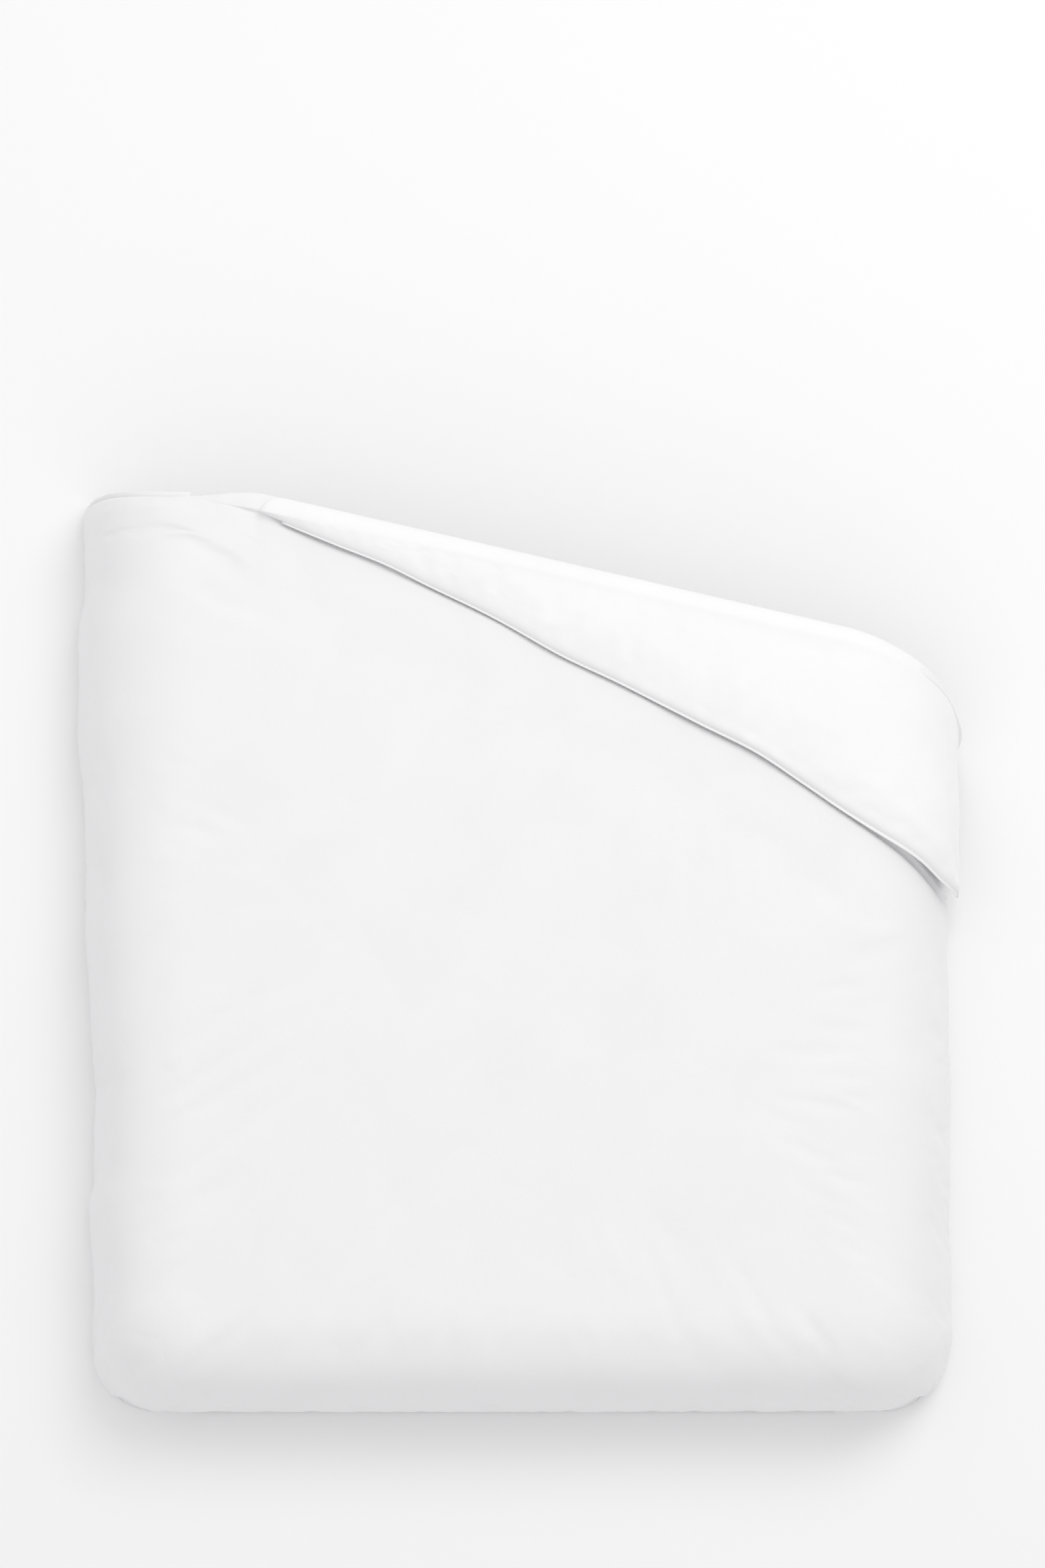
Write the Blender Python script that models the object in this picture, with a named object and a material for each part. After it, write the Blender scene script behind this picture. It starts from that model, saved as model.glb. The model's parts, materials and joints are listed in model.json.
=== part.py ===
"""A double duvet in its cover, draped as on a bed, with one head corner turned back over itself.

Every piece is drawn flat, in the cloth's own coordinates: u across the bed, v from the foot edge
to the head edge, n up through the thickness from the underside. place() then lays it over the
mattress. Metres, +Z up, +Y towards the head. The origin is the bottom centre of the whole part.
"""

import math

import bmesh
import bpy
from mathutils import Matrix, Vector

# Sheets and loft
COVER_WIDTH = 1.950  # between the side seams, filled
COVER_LENGTH = 1.895  # from the foot edge to the head seam, filled
LOFT = 0.036  # whole thickness of the filled duvet
CLOTH = 0.0010  # one sheet of cloth
GAP = 0.0003  # between two touching pieces
FILL_GAP = 0.0008  # between the filling and its casing, which fold apart at the corners
SEAM_THICKNESS = 0.0020
SEAM_DEPTH = 0.008  # how far a sewn edge stands out of the sheets
SEAM_BITE = 0.003  # how far it reaches in between them
COVER_ROUND = 0.028  # the cover rises to its full loft over this width
QUILT_ROUND = 0.036
QUILT_INSET = 0.008  # from the cover's edge to the quilt's edge
PIPING_WIDTH = 0.011
EDGE_LINES = (0.008, 0.016, 0.028, 0.044)
FILL_INSET = 0.028  # from the cover's edge to the filling
SIDE_SLACK = 0.008  # more of that where the turned-back corner bends over the side

# The bed that it lies over
MATTRESS_WIDTH = 1.350
FLAT_INSET = 0.040  # the bend starts this far inside the mattress edge
SIDE_BEND = 0.120
SIDE_SLOPE = math.radians(75)
FOOT_BEND = 0.100
FOOT_SLOPE = math.radians(82)
FOOT_HANG = 0.332  # cloth from the start of the foot bend to the foot edge
CORNER_RADIUS = 0.110
BEND_STEPS = 5

# Quilt boxes
BOX_COLUMNS = 4
BOX_ROWS = 4
BOX_GAP = 0.002

# Foot opening
HEM_DEPTH = 0.045
HEM_CLOTH = 0.0015
HEM_APART = 0.0020  # between the two hems, where the studs are
OPENING_WIDTH = 1.240
STUDS = 6
STUD_PITCH = 0.200
STUD_RADIUS = 0.0060
STUD_FLANGE = 0.0007
STUD_POST_RADIUS = 0.0016
STUD_POST = 0.0009
SOCKET_CLEARANCE = 0.0004
SOCKET_LIFT = 0.0003
STUD_SIDES = 12
CLOSURE_LIFT = 0.003  # the moving hem stays this far off the floor
LABEL_SIZE = (0.030, 0.030)
LABEL_THICKNESS = 0.0008

# Turned-back corner, measured from the head edge and the bed's centre line
CREASE_START = 0.616  # left of the centre line, on the head edge
CREASE_SLOPE = 0.2328
CREASE_SIDE_SLOPE = 0.520  # steeper where it hangs down the side
HEM_START = 0.525
HEM_SLOPE = 0.492
CORNER_TIP = (0.835, -0.735)
ROLL_START = -0.480
FLAP_START = -0.250
ROLL_STEPS = 8
ROLL_GAP = 0.0009  # the crease's layers twist past each other where it turns down the side
HINGE_STOP = 0.020  # the lifting part ends this far before the bend

MID = LOFT / 2
SIDE_START = MATTRESS_WIDTH / 2 - FLAT_INSET
HALF_WIDTH = COVER_WIDTH / 2
SIDE_HANG = HALF_WIDTH + SEAM_DEPTH - SIDE_START
SEAM_HALF = SEAM_THICKNESS / 2
PANEL_BASE = SEAM_HALF + GAP
STACK = LOFT + GAP  # the turned-back layer starts here
FOLD_CENTRE = LOFT + GAP / 2


def profile(s, radius, slope):
    """Run out, drop and tilt of the middle surface at s past the start of a bend."""
    tilt = min(s / radius, slope)
    rest = s - radius * tilt
    run = radius * math.sin(tilt) + rest * math.cos(tilt)
    drop = radius * (1 - math.cos(tilt)) + rest * math.sin(tilt)
    return run, drop, tilt


MATTRESS_TOP = profile(SIDE_HANG, SIDE_BEND, SIDE_SLOPE)[1] - MID
FOOT_DROP = profile(FOOT_HANG, FOOT_BEND, FOOT_SLOPE)[1]
SIDE_DROP = MATTRESS_TOP + MID
# the foot hangs as deep as the sides, whatever its bend
FOOT_FALL = FOOT_HANG + (SIDE_DROP - FOOT_DROP) / math.sin(FOOT_SLOPE)
FOOT_START = FOOT_FALL
HEAD = COVER_LENGTH
FOOT_SEAM = HEM_DEPTH


def corner(level, across):
    """Point, heading and tilt on the rounded foot corner. across is 0 at the side, 1 at the foot."""
    side_run, side_drop, side_tilt = profile(level * SIDE_HANG, SIDE_BEND, SIDE_SLOPE)
    foot_run, foot_drop, foot_tilt = profile(level * FOOT_FALL, FOOT_BEND, FOOT_SLOPE)
    radius = min(CORNER_RADIUS, side_run, foot_run)
    first = foot_run - radius
    arc = radius * math.pi / 2
    path = across * (first + arc + side_run - radius)
    x = SIDE_START + side_run
    y = FOOT_START - path
    heading = 0.0
    if path > first:
        heading = min((path - first) / max(radius, 1e-9), math.pi / 2)
        x = SIDE_START + side_run - radius + radius * math.cos(heading)
        y = FOOT_START - foot_run + radius - radius * math.sin(heading)
    if path > first + arc:
        x -= path - first - arc
    drop = side_drop + (foot_drop - side_drop) * across
    return x, y, drop, heading, side_tilt + (foot_tilt - side_tilt) * across


def place(u, v, n):
    """Where a point of the flat duvet lies on the bed."""
    over_side = (abs(u) - SIDE_START) / SIDE_HANG
    over_foot = (FOOT_START - v) / FOOT_FALL
    level = max(over_side, over_foot)
    if level <= 0:
        return Vector((u, v, MATTRESS_TOP + n))
    if over_foot <= 0:
        x, y, drop, heading, tilt = corner(level, 0.0)
        y = v
    elif over_side <= 0:
        x, y, drop, heading, tilt = corner(level, 1.0)
        x = abs(u)
    elif over_side >= over_foot:
        x, y, drop, heading, tilt = corner(level, 0.5 * over_foot / level)
    else:
        x, y, drop, heading, tilt = corner(level, 1 - 0.5 * over_side / level)
    out = (n - MID) * math.sin(tilt)
    x += out * math.cos(heading)
    y -= out * math.sin(heading)
    z = SIDE_DROP - drop + (n - MID) * math.cos(tilt)
    return Vector((math.copysign(x, u), y, z))


def rise(edge, width):
    """How much of its full loft the duvet has at this distance from its edge."""
    short = 1 - min(max(edge, 0) / width, 1)
    return math.sqrt(1 - short * short)


def cover_half(edge):
    """Half thickness inside the cover."""
    return PANEL_BASE + (MID - CLOTH - PANEL_BASE) * rise(edge, COVER_ROUND)


def quilt_half(edge):
    """Half thickness inside the quilt's casing."""
    full = MID - 2 * CLOTH - GAP
    return PANEL_BASE + (full - PANEL_BASE) * rise(edge - QUILT_INSET, QUILT_ROUND)


def crease_v(u):
    """The fold's centre line, across the flat duvet."""
    line = HEAD - CREASE_SLOPE * (u + CREASE_START)
    return line - (CREASE_SIDE_SLOPE - CREASE_SLOPE) * max(u - SIDE_START, 0)


def hem_v(u):
    """The turned-back head edge, where it lies."""
    return HEAD - HEM_SLOPE * (u + HEM_START)


CREASE_ALONG = Vector((1, -CREASE_SLOPE)).normalized()
CREASE_BACK = Vector((-CREASE_ALONG.y, CREASE_ALONG.x)) * -1
SIDE_ALONG = Vector((1, -CREASE_SIDE_SLOPE)).normalized()
BEND_POINT = Vector((SIDE_START, crease_v(SIDE_START)))
TIP = Vector((CORNER_TIP[0], HEAD + CORNER_TIP[1]))


def meet(a, way_a, b, way_b):
    """Where two lines in the flat cross."""
    cross = way_a.x * way_b.y - way_a.y * way_b.x
    t = ((b.x - a.x) * way_b.y - (b.y - a.y) * way_b.x) / cross
    return a + way_a * t


def line_edge(point, start, end):
    """Distance from a line in the flat."""
    way = (end - start).normalized()
    return abs((point.x - start.x) * way.y - (point.y - start.y) * way.x)


def drape_cuts():
    """Lines across the flat along which every piece bends."""
    side = [SIDE_BEND * SIDE_SLOPE * i / BEND_STEPS for i in range(BEND_STEPS + 1)]
    foot = [FOOT_BEND * FOOT_SLOPE * i / BEND_STEPS for i in range(BEND_STEPS + 1)]
    across = [SIDE_START + s for s in side] + [HALF_WIDTH - e for e in EDGE_LINES + (0,)]
    along = [FOOT_START - s for s in foot] + [FOOT_SEAM + e for e in EDGE_LINES + (0,)]
    cuts = [((way * u, 0, 0), (1, 0, 0)) for u in across for way in (-1, 1)]
    cuts += [((0, v, 0), (0, 1, 0)) for v in along]
    return cuts


def head_cuts():
    """Lines along which a piece rises from the head seam."""
    return [((0, HEAD - e, 0), (0, 1, 0)) for e in EDGE_LINES]


def flat_cuts(start, end):
    """Lines along which a turned-back piece rises from one of its edges."""
    way = (end - start).normalized()
    across = Vector((-way.y, way.x))
    cuts = []
    for e in EDGE_LINES:
        for side in (-1, 1):
            point = start + across * e * side
            cuts.append(((point.x, point.y, 0), (across.x, across.y, 0)))
    return cuts


def fan(face):
    """Triangles from a flat face's outermost foot corner, so that stacked layers fold alike."""
    ring = [loop.vert for loop in face.loops]
    first = max(range(len(ring)), key=lambda i: abs(ring[i].co.x) - ring[i].co.y)
    ring = ring[first:] + ring[:first]
    return [(ring[0].index, ring[i].index, ring[i + 1].index) for i in range(1, len(ring) - 1)]


def slab(polygons, cuts, low, high):
    """A closed solid from flat outlines, between two heights that may vary over it."""
    flat = bmesh.new()
    for outline in polygons:
        flat.faces.new([flat.verts.new((p[0], p[1], 0)) for p in outline])
    bmesh.ops.remove_doubles(flat, verts=flat.verts[:], dist=1e-6)
    for point, way in cuts:
        geometry = flat.verts[:] + flat.edges[:] + flat.faces[:]
        bmesh.ops.bisect_plane(flat, geom=geometry, dist=1e-6, plane_co=point, plane_no=way)
    flat.verts.index_update()
    count = len(flat.verts)
    points = [place(v.co.x, v.co.y, low(v.co.x, v.co.y)) for v in flat.verts]
    points += [place(v.co.x, v.co.y, high(v.co.x, v.co.y)) for v in flat.verts]
    faces = []
    for face in flat.faces:
        for a, b, c in fan(face):
            faces.append([count + a, count + b, count + c])
            faces.append([c, b, a])
        for loop in face.loops:
            if loop.edge.is_boundary:
                a = loop.vert.index
                b = loop.link_loop_next.vert.index
                faces.append([a, b, count + b])
                faces.append([a, count + b, count + a])
    flat.free()
    return points, faces


def rectangle(u0, u1, v0, v1):
    return [(u0, v0), (u1, v0), (u1, v1), (u0, v1)]


def clip(outline, point, inward):
    """The part of a flat outline on one side of a line."""
    kept = []
    for i, here in enumerate(outline):
        ahead = outline[(i + 1) % len(outline)]
        a = (Vector(here) - point).dot(inward)
        b = (Vector(ahead) - point).dot(inward)
        if a >= 0:
            kept.append(tuple(here))
        if (a > 0 > b) or (a < 0 < b):
            kept.append(tuple(Vector(here).lerp(Vector(ahead), a / (a - b))))
    return kept


def clip_crease(outline, gap):
    """The part of a flat outline on the foot side of the crease."""
    top_back = CREASE_BACK
    side_back = Vector((SIDE_ALONG.y, -SIDE_ALONG.x))
    kept = clip(outline, BEND_POINT + top_back * gap, top_back)
    return clip(kept, BEND_POINT + side_back * gap, side_back)


def root_edge(u, v):
    """Distance in from the cover's own edges."""
    return min(HALF_WIDTH - abs(u), HEAD - v, v - FOOT_SEAM)


def root_sheet(inset, half, above):
    """A sheet of the cover or of the casing, all over the bed up to the crease."""
    outline = rectangle(inset - HALF_WIDTH, HALF_WIDTH - inset, FOOT_SEAM + inset, HEAD - inset)
    outline = clip_crease(outline, GAP / 2)

    def inner(u, v):
        return half(root_edge(u, v))

    cuts = drape_cuts() + head_cuts()
    if above:
        return slab([outline], cuts, lambda u, v: MID + inner(u, v), lambda u, v: MID + inner(u, v) + CLOTH)
    return slab([outline], cuts, lambda u, v: MID - inner(u, v) - CLOTH, lambda u, v: MID - inner(u, v))


def strip(outlines, middle, half, cuts=None):
    """A flat strip about one height."""
    return slab(outlines, cuts or drape_cuts(), lambda u, v: middle - half, lambda u, v: middle + half)


def box_outline(row, column):
    """One box of filling, inside the quilt's edge."""
    start = FILL_INSET
    width = (COVER_WIDTH - 2 * start + BOX_GAP) / BOX_COLUMNS
    length = (HEAD - FOOT_SEAM - 2 * start + BOX_GAP) / BOX_ROWS
    u0 = start - HALF_WIDTH + column * width
    v0 = FOOT_SEAM + start + row * length
    return clip_crease(rectangle(u0, u0 + width - BOX_GAP, v0, v0 + length - BOX_GAP), GAP / 2)


def fill_half(edge):
    return quilt_half(edge) - FILL_GAP


# The turned-back corner: a part on the flat top, which moves, and a part that hangs at the side
FLAP_HEM_A = Vector((-HEM_START, HEAD))
HEM_ALONG = Vector((1, -HEM_SLOPE)).normalized()
HINGE_END = BEND_POINT - CREASE_ALONG * HINGE_STOP
FLAP_HEM_END = meet(HINGE_END, CREASE_BACK, FLAP_HEM_A, HEM_ALONG)
HEM_AT_EDGE = Vector((SIDE_START, hem_v(SIDE_START)))
DROP_END = Vector((HALF_WIDTH - QUILT_INSET, crease_v(HALF_WIDTH - QUILT_INSET)))


def flap_outline(inset, gap):
    """The part of the flap that lifts, as it lies."""
    start = Vector((FLAP_START, crease_v(FLAP_START)))
    hem = FLAP_HEM_A + Vector((HEM_ALONG.y, -HEM_ALONG.x)) * -inset
    back = CREASE_BACK
    a = start + back * gap
    b = HINGE_END + back * gap - CREASE_ALONG * gap
    c = meet(b, back, hem, HEM_ALONG)
    d = meet(start, back, hem, HEM_ALONG)
    return [tuple(a), tuple(d), tuple(c), tuple(b)]


def flap_edge(u, v):
    return line_edge(Vector((u, v)), FLAP_HEM_A, FLAP_HEM_A + HEM_ALONG)


def shifted(outline, inset, crease_gap):
    """The drop's outline, moved in from its hem and its side edge."""
    knee, hem_end, hem_bend, tip, end = outline
    hem_in = Vector((-HEM_ALONG.y, HEM_ALONG.x)) * inset
    low_along = (tip - hem_bend).normalized()
    low_in = Vector((-low_along.y, low_along.x)) * inset
    side_along = (end - tip).normalized()
    side_in = Vector((-side_along.y, side_along.x)) * inset
    away = CREASE_ALONG * crease_gap
    back = Vector((SIDE_ALONG.y, -SIDE_ALONG.x)) * crease_gap
    knee_in = knee + away + CREASE_BACK * crease_gap
    hem_end_in = meet(knee_in, CREASE_BACK, hem_end + hem_in, HEM_ALONG)
    hem_bend_in = meet(hem_bend + hem_in, HEM_ALONG, hem_bend, Vector((0, 1)))
    tip_in = meet(hem_bend_in, low_along, tip + side_in, side_along)
    end_in = meet(tip + side_in, side_along, end + back, SIDE_ALONG)
    corner_in = meet(end + back, SIDE_ALONG, hem_bend, Vector((0, 1)))
    return knee_in, hem_end_in, hem_bend_in, tip_in, end_in, corner_in


DROP_POINTS = (HINGE_END, FLAP_HEM_END, HEM_AT_EDGE, TIP, DROP_END)


def drop_outlines(inset, crease_gap):
    knee, hem_end, hem_bend, tip, end, top = shifted(DROP_POINTS, inset, crease_gap)
    return [
        [tuple(knee), tuple(hem_end), tuple(hem_bend), tuple(top)],
        [tuple(top), tuple(hem_bend), tuple(tip), tuple(end)],
    ]


def drop_edge(u, v):
    point = Vector((u, v))
    side = line_edge(point, TIP, DROP_END)
    if u < SIDE_START + 1e-6:
        return min(flap_edge(u, v), side)
    return min(line_edge(point, HEM_AT_EDGE, TIP), side)


TURNED = STACK + MID  # middle height of the turned-back layer


def turned_layers(outlines, cuts, edge, kind):
    """One layer of the turned-back corner. The reverse sheet is on top there."""
    heights = {
        "reverse": (lambda e: cover_half(e), lambda e: cover_half(e) + CLOTH),
        "casing_under": (lambda e: quilt_half(e), lambda e: quilt_half(e) + CLOTH),
        "fill": (lambda e: GAP / 2 - fill_half(e), lambda e: fill_half(e) - GAP / 2),
        "casing_top": (lambda e: -quilt_half(e) - CLOTH, lambda e: -quilt_half(e)),
        "face": (lambda e: -cover_half(e) - CLOTH, lambda e: -cover_half(e)),
    }
    low, high = heights[kind]
    return slab(
        outlines,
        cuts,
        lambda u, v: TURNED + low(edge(u, v)),
        lambda u, v: TURNED + high(edge(u, v)),
    )


def crease_path(start, end):
    """Points along the fold's centre line, with the way out of the fold at each."""
    stops = [start, FLAP_START, SIDE_START]
    fine = 2 * BEND_STEPS
    stops += [SIDE_START + SIDE_BEND * SIDE_SLOPE * i / fine for i in range(1, fine + 1)]
    stops = [u for u in stops if start <= u < end] + [end]
    path = []
    for u in stops:
        out = CREASE_BACK * -1
        if u > SIDE_START + 1e-6:
            out = Vector((-SIDE_ALONG.y, SIDE_ALONG.x))
        elif u > SIDE_START - 1e-6:
            out = (Vector((-SIDE_ALONG.y, SIDE_ALONG.x)) - CREASE_BACK).normalized()
        path.append((Vector((u, crease_v(u))), out))
    return path


def roll(inner, outer):
    """A half round of the crease, between two radii. An inner radius of 0 gives the solid core."""
    angles = [math.pi * i / ROLL_STEPS for i in range(ROLL_STEPS + 1)]
    section = [(ROLL_GAP + outer * math.sin(a), -outer * math.cos(a)) for a in angles]
    if inner > 0:
        section += [(ROLL_GAP + inner * math.sin(a), -inner * math.cos(a)) for a in reversed(angles)]
    points = []
    for middle, out in crease_path(ROLL_START, HALF_WIDTH - 3 * QUILT_INSET):
        for reach, lift in section:
            flat = middle + out * reach
            points.append(place(flat.x, flat.y, FOLD_CENTRE + lift))
    size = len(section)
    stations = len(points) // size
    faces = []
    for k in range(stations - 1):
        for i in range(size):
            j = (i + 1) % size
            a, b = k * size + i, k * size + j
            faces.append([a, b, b + size])
            faces.append([a, b + size, a + size])
    last = (stations - 1) * size
    half = len(angles)
    if inner > 0:
        for i in range(half - 1):
            quad = [i, i + 1, size - 2 - i, size - 1 - i]
            faces.append([quad[0], quad[2], quad[1]])
            faces.append([quad[0], quad[3], quad[2]])
            faces.append([last + quad[0], last + quad[1], last + quad[2]])
            faces.append([last + quad[0], last + quad[2], last + quad[3]])
    else:
        for i in range(1, size - 1):
            faces.append([0, i + 1, i])
            faces.append([last, last + i, last + i + 1])
    return points, faces


def hem_frame(u, v, n):
    """A frame on the foot hem: x across the bed, z out of the cloth."""
    here = place(u, v, n)
    out = (place(u, v, n + 0.01) - here).normalized()
    across = Vector((1, 0, 0))
    up = out.cross(across)
    return Matrix((
        (across.x, up.x, out.x, here.x),
        (across.y, up.y, out.y, here.y),
        (across.z, up.z, out.z, here.z),
        (0, 0, 0, 1),
    ))


def stud(u):
    """The male half of a press stud: a flange on the under hem with a round-topped post."""
    frame = hem_frame(u, HEM_DEPTH / 2, MID - HEM_APART / 2 + GAP)
    rings = [(STUD_RADIUS, 0), (STUD_RADIUS, STUD_FLANGE), (STUD_POST_RADIUS, STUD_FLANGE)]
    rings += [(STUD_POST_RADIUS, STUD_POST + 0.0003), (STUD_POST_RADIUS * 0.6, STUD_POST + 0.0006)]
    return capped_lathe(rings, frame)


def capped_lathe(rings, frame):
    """A turned solid closed with a flat cap at each end."""
    points = []
    for radius, height in rings:
        for i in range(STUD_SIDES):
            a = 2 * math.pi * i / STUD_SIDES
            points.append(frame @ Vector((radius * math.cos(a), radius * math.sin(a), height)))
    faces = []
    for k in range(len(rings) - 1):
        low = k * STUD_SIDES
        for i in range(STUD_SIDES):
            j = (i + 1) % STUD_SIDES
            faces.append([low + i, low + j, low + j + STUD_SIDES, low + i + STUD_SIDES])
    top = (len(rings) - 1) * STUD_SIDES
    faces.append([i for i in reversed(range(STUD_SIDES))])
    faces.append([top + i for i in range(STUD_SIDES)])
    return points, faces


def socket(u):
    """The female half: a ring under the face hem, whose hole passes the post."""
    hole = STUD_POST_RADIUS + SOCKET_CLEARANCE
    low = MID - HEM_APART / 2 + GAP + STUD_FLANGE + SOCKET_LIFT
    high = MID + HEM_APART / 2 - GAP
    frame = hem_frame(u, HEM_DEPTH / 2, low)
    tall = high - low
    rings = [(hole, 0), (STUD_RADIUS, 0), (STUD_RADIUS, tall), (hole, tall)]
    points = []
    for radius, height in rings:
        for i in range(STUD_SIDES):
            a = 2 * math.pi * i / STUD_SIDES
            points.append(frame @ Vector((radius * math.cos(a), radius * math.sin(a), height)))
    faces = []
    for k in range(4):
        low_ring = k * STUD_SIDES
        high_ring = (k + 1) % 4 * STUD_SIDES
        for i in range(STUD_SIDES):
            j = (i + 1) % STUD_SIDES
            faces.append([low_ring + i, low_ring + j, high_ring + j, high_ring + i])
    return points, faces


def cover_pieces():
    """The cover's sheets, seams and hems."""
    seam_in = HALF_WIDTH - SEAM_BITE
    seam_out = HALF_WIDTH + SEAM_DEPTH
    foot_top = FOOT_SEAM + SEAM_BITE
    half_open = OPENING_WIDTH / 2
    crease_end = crease_v(seam_out) - GAP
    left_top = HEAD + SEAM_DEPTH
    pieces = {
        "cover_face_panel": root_sheet(0, cover_half, True),
        "cover_reverse_panel": root_sheet(0, cover_half, False),
        "left_side_seam": strip([rectangle(-seam_out, -seam_in, foot_top + GAP, left_top)], MID, SEAM_HALF),
        "right_side_seam": strip([rectangle(seam_in, seam_out, foot_top + GAP, crease_end)], MID, SEAM_HALF),
        "head_seam": strip(
            [rectangle(-seam_in + GAP, -CREASE_START - SEAM_BITE, HEAD - SEAM_BITE, left_top)], MID, SEAM_HALF
        ),
        "foot_hem_left": strip([rectangle(-seam_out, -half_open - GAP, 0, foot_top)], MID, SEAM_HALF),
        "foot_hem_right": strip([rectangle(half_open + GAP, seam_out, 0, foot_top)], MID, SEAM_HALF),
        "opening_under_hem": strip(
            [rectangle(-half_open, half_open, 0, FOOT_SEAM - GAP)],
            MID - HEM_APART / 2 - HEM_CLOTH / 2,
            HEM_CLOTH / 2,
        ),
        "opening_face_hem": strip(
            [rectangle(-half_open, half_open, CLOSURE_LIFT, FOOT_SEAM - HEM_CLOTH)],
            MID + HEM_APART / 2 + HEM_CLOTH / 2,
            HEM_CLOTH / 2,
        ),
        "care_label": label(),
    }
    for i in range(STUDS):
        u = (i - (STUDS - 1) / 2) * STUD_PITCH
        pieces[f"press_stud_{i + 1}"] = stud(u)
        pieces[f"press_socket_{i + 1}"] = socket(u)
    return pieces


def label():
    wide, tall = LABEL_SIZE
    u0 = -OPENING_WIDTH / 2 + wide
    v1 = FOOT_SEAM - HEM_CLOTH
    low = MID - HEM_APART / 2 + GAP
    return strip([rectangle(u0, u0 + wide, v1 - tall, v1)], low + LABEL_THICKNESS / 2, LABEL_THICKNESS / 2)


def quilt_pieces():
    """The quilt's casing, its piped edges and its filling."""
    near = PIPING_WIDTH + QUILT_INSET / 2 - GAP
    far = QUILT_INSET / 2
    side_in = HALF_WIDTH - near
    side_out = HALF_WIDTH - far
    foot_in = FOOT_SEAM + near
    foot_out = FOOT_SEAM + far
    pieces = {
        "quilt_casing_top": root_sheet(QUILT_INSET, quilt_half, True),
        "quilt_casing_under": root_sheet(QUILT_INSET, quilt_half, False),
        "quilt_piping_left": strip([rectangle(-side_out, -side_in, foot_in + GAP, HEAD - far)], MID, SEAM_HALF),
        "quilt_piping_right": strip(
            [rectangle(side_in, side_out, foot_in + GAP, crease_v(side_out) - 2 * GAP)], MID, SEAM_HALF
        ),
        "quilt_piping_foot": strip([rectangle(-side_out, side_out, foot_out, foot_in)], MID, SEAM_HALF),
        "quilt_piping_head": strip(
            [rectangle(-side_in + GAP, -CREASE_START - SEAM_BITE, HEAD - near, HEAD - far)], MID, SEAM_HALF
        ),
    }
    for row in range(BOX_ROWS):
        for column in range(BOX_COLUMNS):
            pieces[f"fill_row{row + 1}_box{column + 1}"] = slab(
                [box_outline(row, column)],
                drape_cuts() + head_cuts(),
                lambda u, v: MID - fill_half(root_edge(u, v)),
                lambda u, v: MID + fill_half(root_edge(u, v)),
            )
    return pieces


def turned_pieces():
    """The corner that is turned back, its crease, and its part that hangs at the side."""
    cuts = drape_cuts() + flat_cuts(FLAP_HEM_A, FLAP_HEM_A + HEM_ALONG)
    drop_cuts = cuts + flat_cuts(HEM_AT_EDGE, TIP) + flat_cuts(TIP, DROP_END)
    pieces = {}
    for kind, inset in (
        ("reverse", 0), ("casing_under", QUILT_INSET), ("fill", FILL_INSET), ("casing_top", QUILT_INSET), ("face", 0)
    ):
        flap = [flap_outline(inset, GAP)]
        slack = SIDE_SLACK if kind == "fill" else 0
        drop = drop_outlines(inset + slack, GAP + slack)
        pieces[f"turnback_{kind}"] = turned_layers(flap, cuts, flap_edge, kind)
        pieces[f"corner_{kind}"] = turned_layers(drop, drop_cuts, drop_edge, kind)
    pieces["turnback_head_seam"] = turned_seam(flap_outline(SEAM_BITE, GAP), flap_outline(-SEAM_DEPTH, GAP))
    inner = drop_outlines(-GAP, GAP)[1]
    outer = drop_outlines(-SEAM_DEPTH, GAP)[1]
    pieces["corner_head_seam"] = strip([[inner[1], outer[1], outer[2], inner[2]]], TURNED, SEAM_HALF)
    pieces["corner_side_seam"] = strip(
        [[lean(inner[2], inner[3]), lean(outer[2], outer[3]), outer[3], inner[3]]], TURNED, SEAM_HALF
    )
    skin = FOLD_CENTRE - GAP / 2
    pieces["crease_reverse"] = roll(skin - CLOTH, skin)
    pieces["crease_casing"] = roll(skin - 2 * CLOTH - ROLL_GAP, skin - CLOTH - ROLL_GAP)
    pieces["crease_fill"] = roll(0, skin - 2 * CLOTH - 2 * ROLL_GAP)
    return pieces


def turned_seam(inner, outer):
    return strip([[inner[1], outer[1], outer[2], inner[2]]], TURNED, SEAM_HALF)


def lean(start, end):
    """A point just past the start, so that two seams meet with a gap."""
    a, b = Vector(start), Vector(end)
    return tuple(a + (b - a).normalized() * GAP)


COLOURS = {
    "cover": ((0.88, 0.88, 0.90, 1), 0.85),
    "seam": ((0.84, 0.84, 0.86, 1), 0.85),
    "casing": ((0.80, 0.80, 0.79, 1), 0.80),
    "fill": ((0.90, 0.90, 0.88, 1), 0.95),
    "stud": ((0.86, 0.87, 0.88, 1), 0.35),
    "label": ((0.92, 0.92, 0.92, 1), 0.45),
}
LIFTING = ("turnback_",)
OPENING = ("opening_face_hem", "press_socket_")


def finish_of(name):
    """Which finish a piece has, from its name."""
    if "fill" in name:
        return "fill"
    if "casing" in name:
        return "casing"
    if name.startswith("press_"):
        return "stud"
    if name == "care_label":
        return "label"
    if "seam" in name or "piping" in name or "hem" in name:
        return "seam"
    return "cover"


def material(kind):
    made = bpy.data.materials.new(kind)
    made.use_nodes = True
    colour, rough = COLOURS[kind]
    shader = made.node_tree.nodes["Principled BSDF"]
    shader.inputs["Base Color"].default_value = colour
    shader.inputs["Roughness"].default_value = rough
    shader.inputs["Metallic"].default_value = 0.0
    made.diffuse_color = colour
    return made


def pivot(name, location):
    empty = bpy.data.objects.new(name, None)
    empty.empty_display_size = 0.1
    empty.location = location
    bpy.context.scene.collection.objects.link(empty)
    return empty


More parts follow.
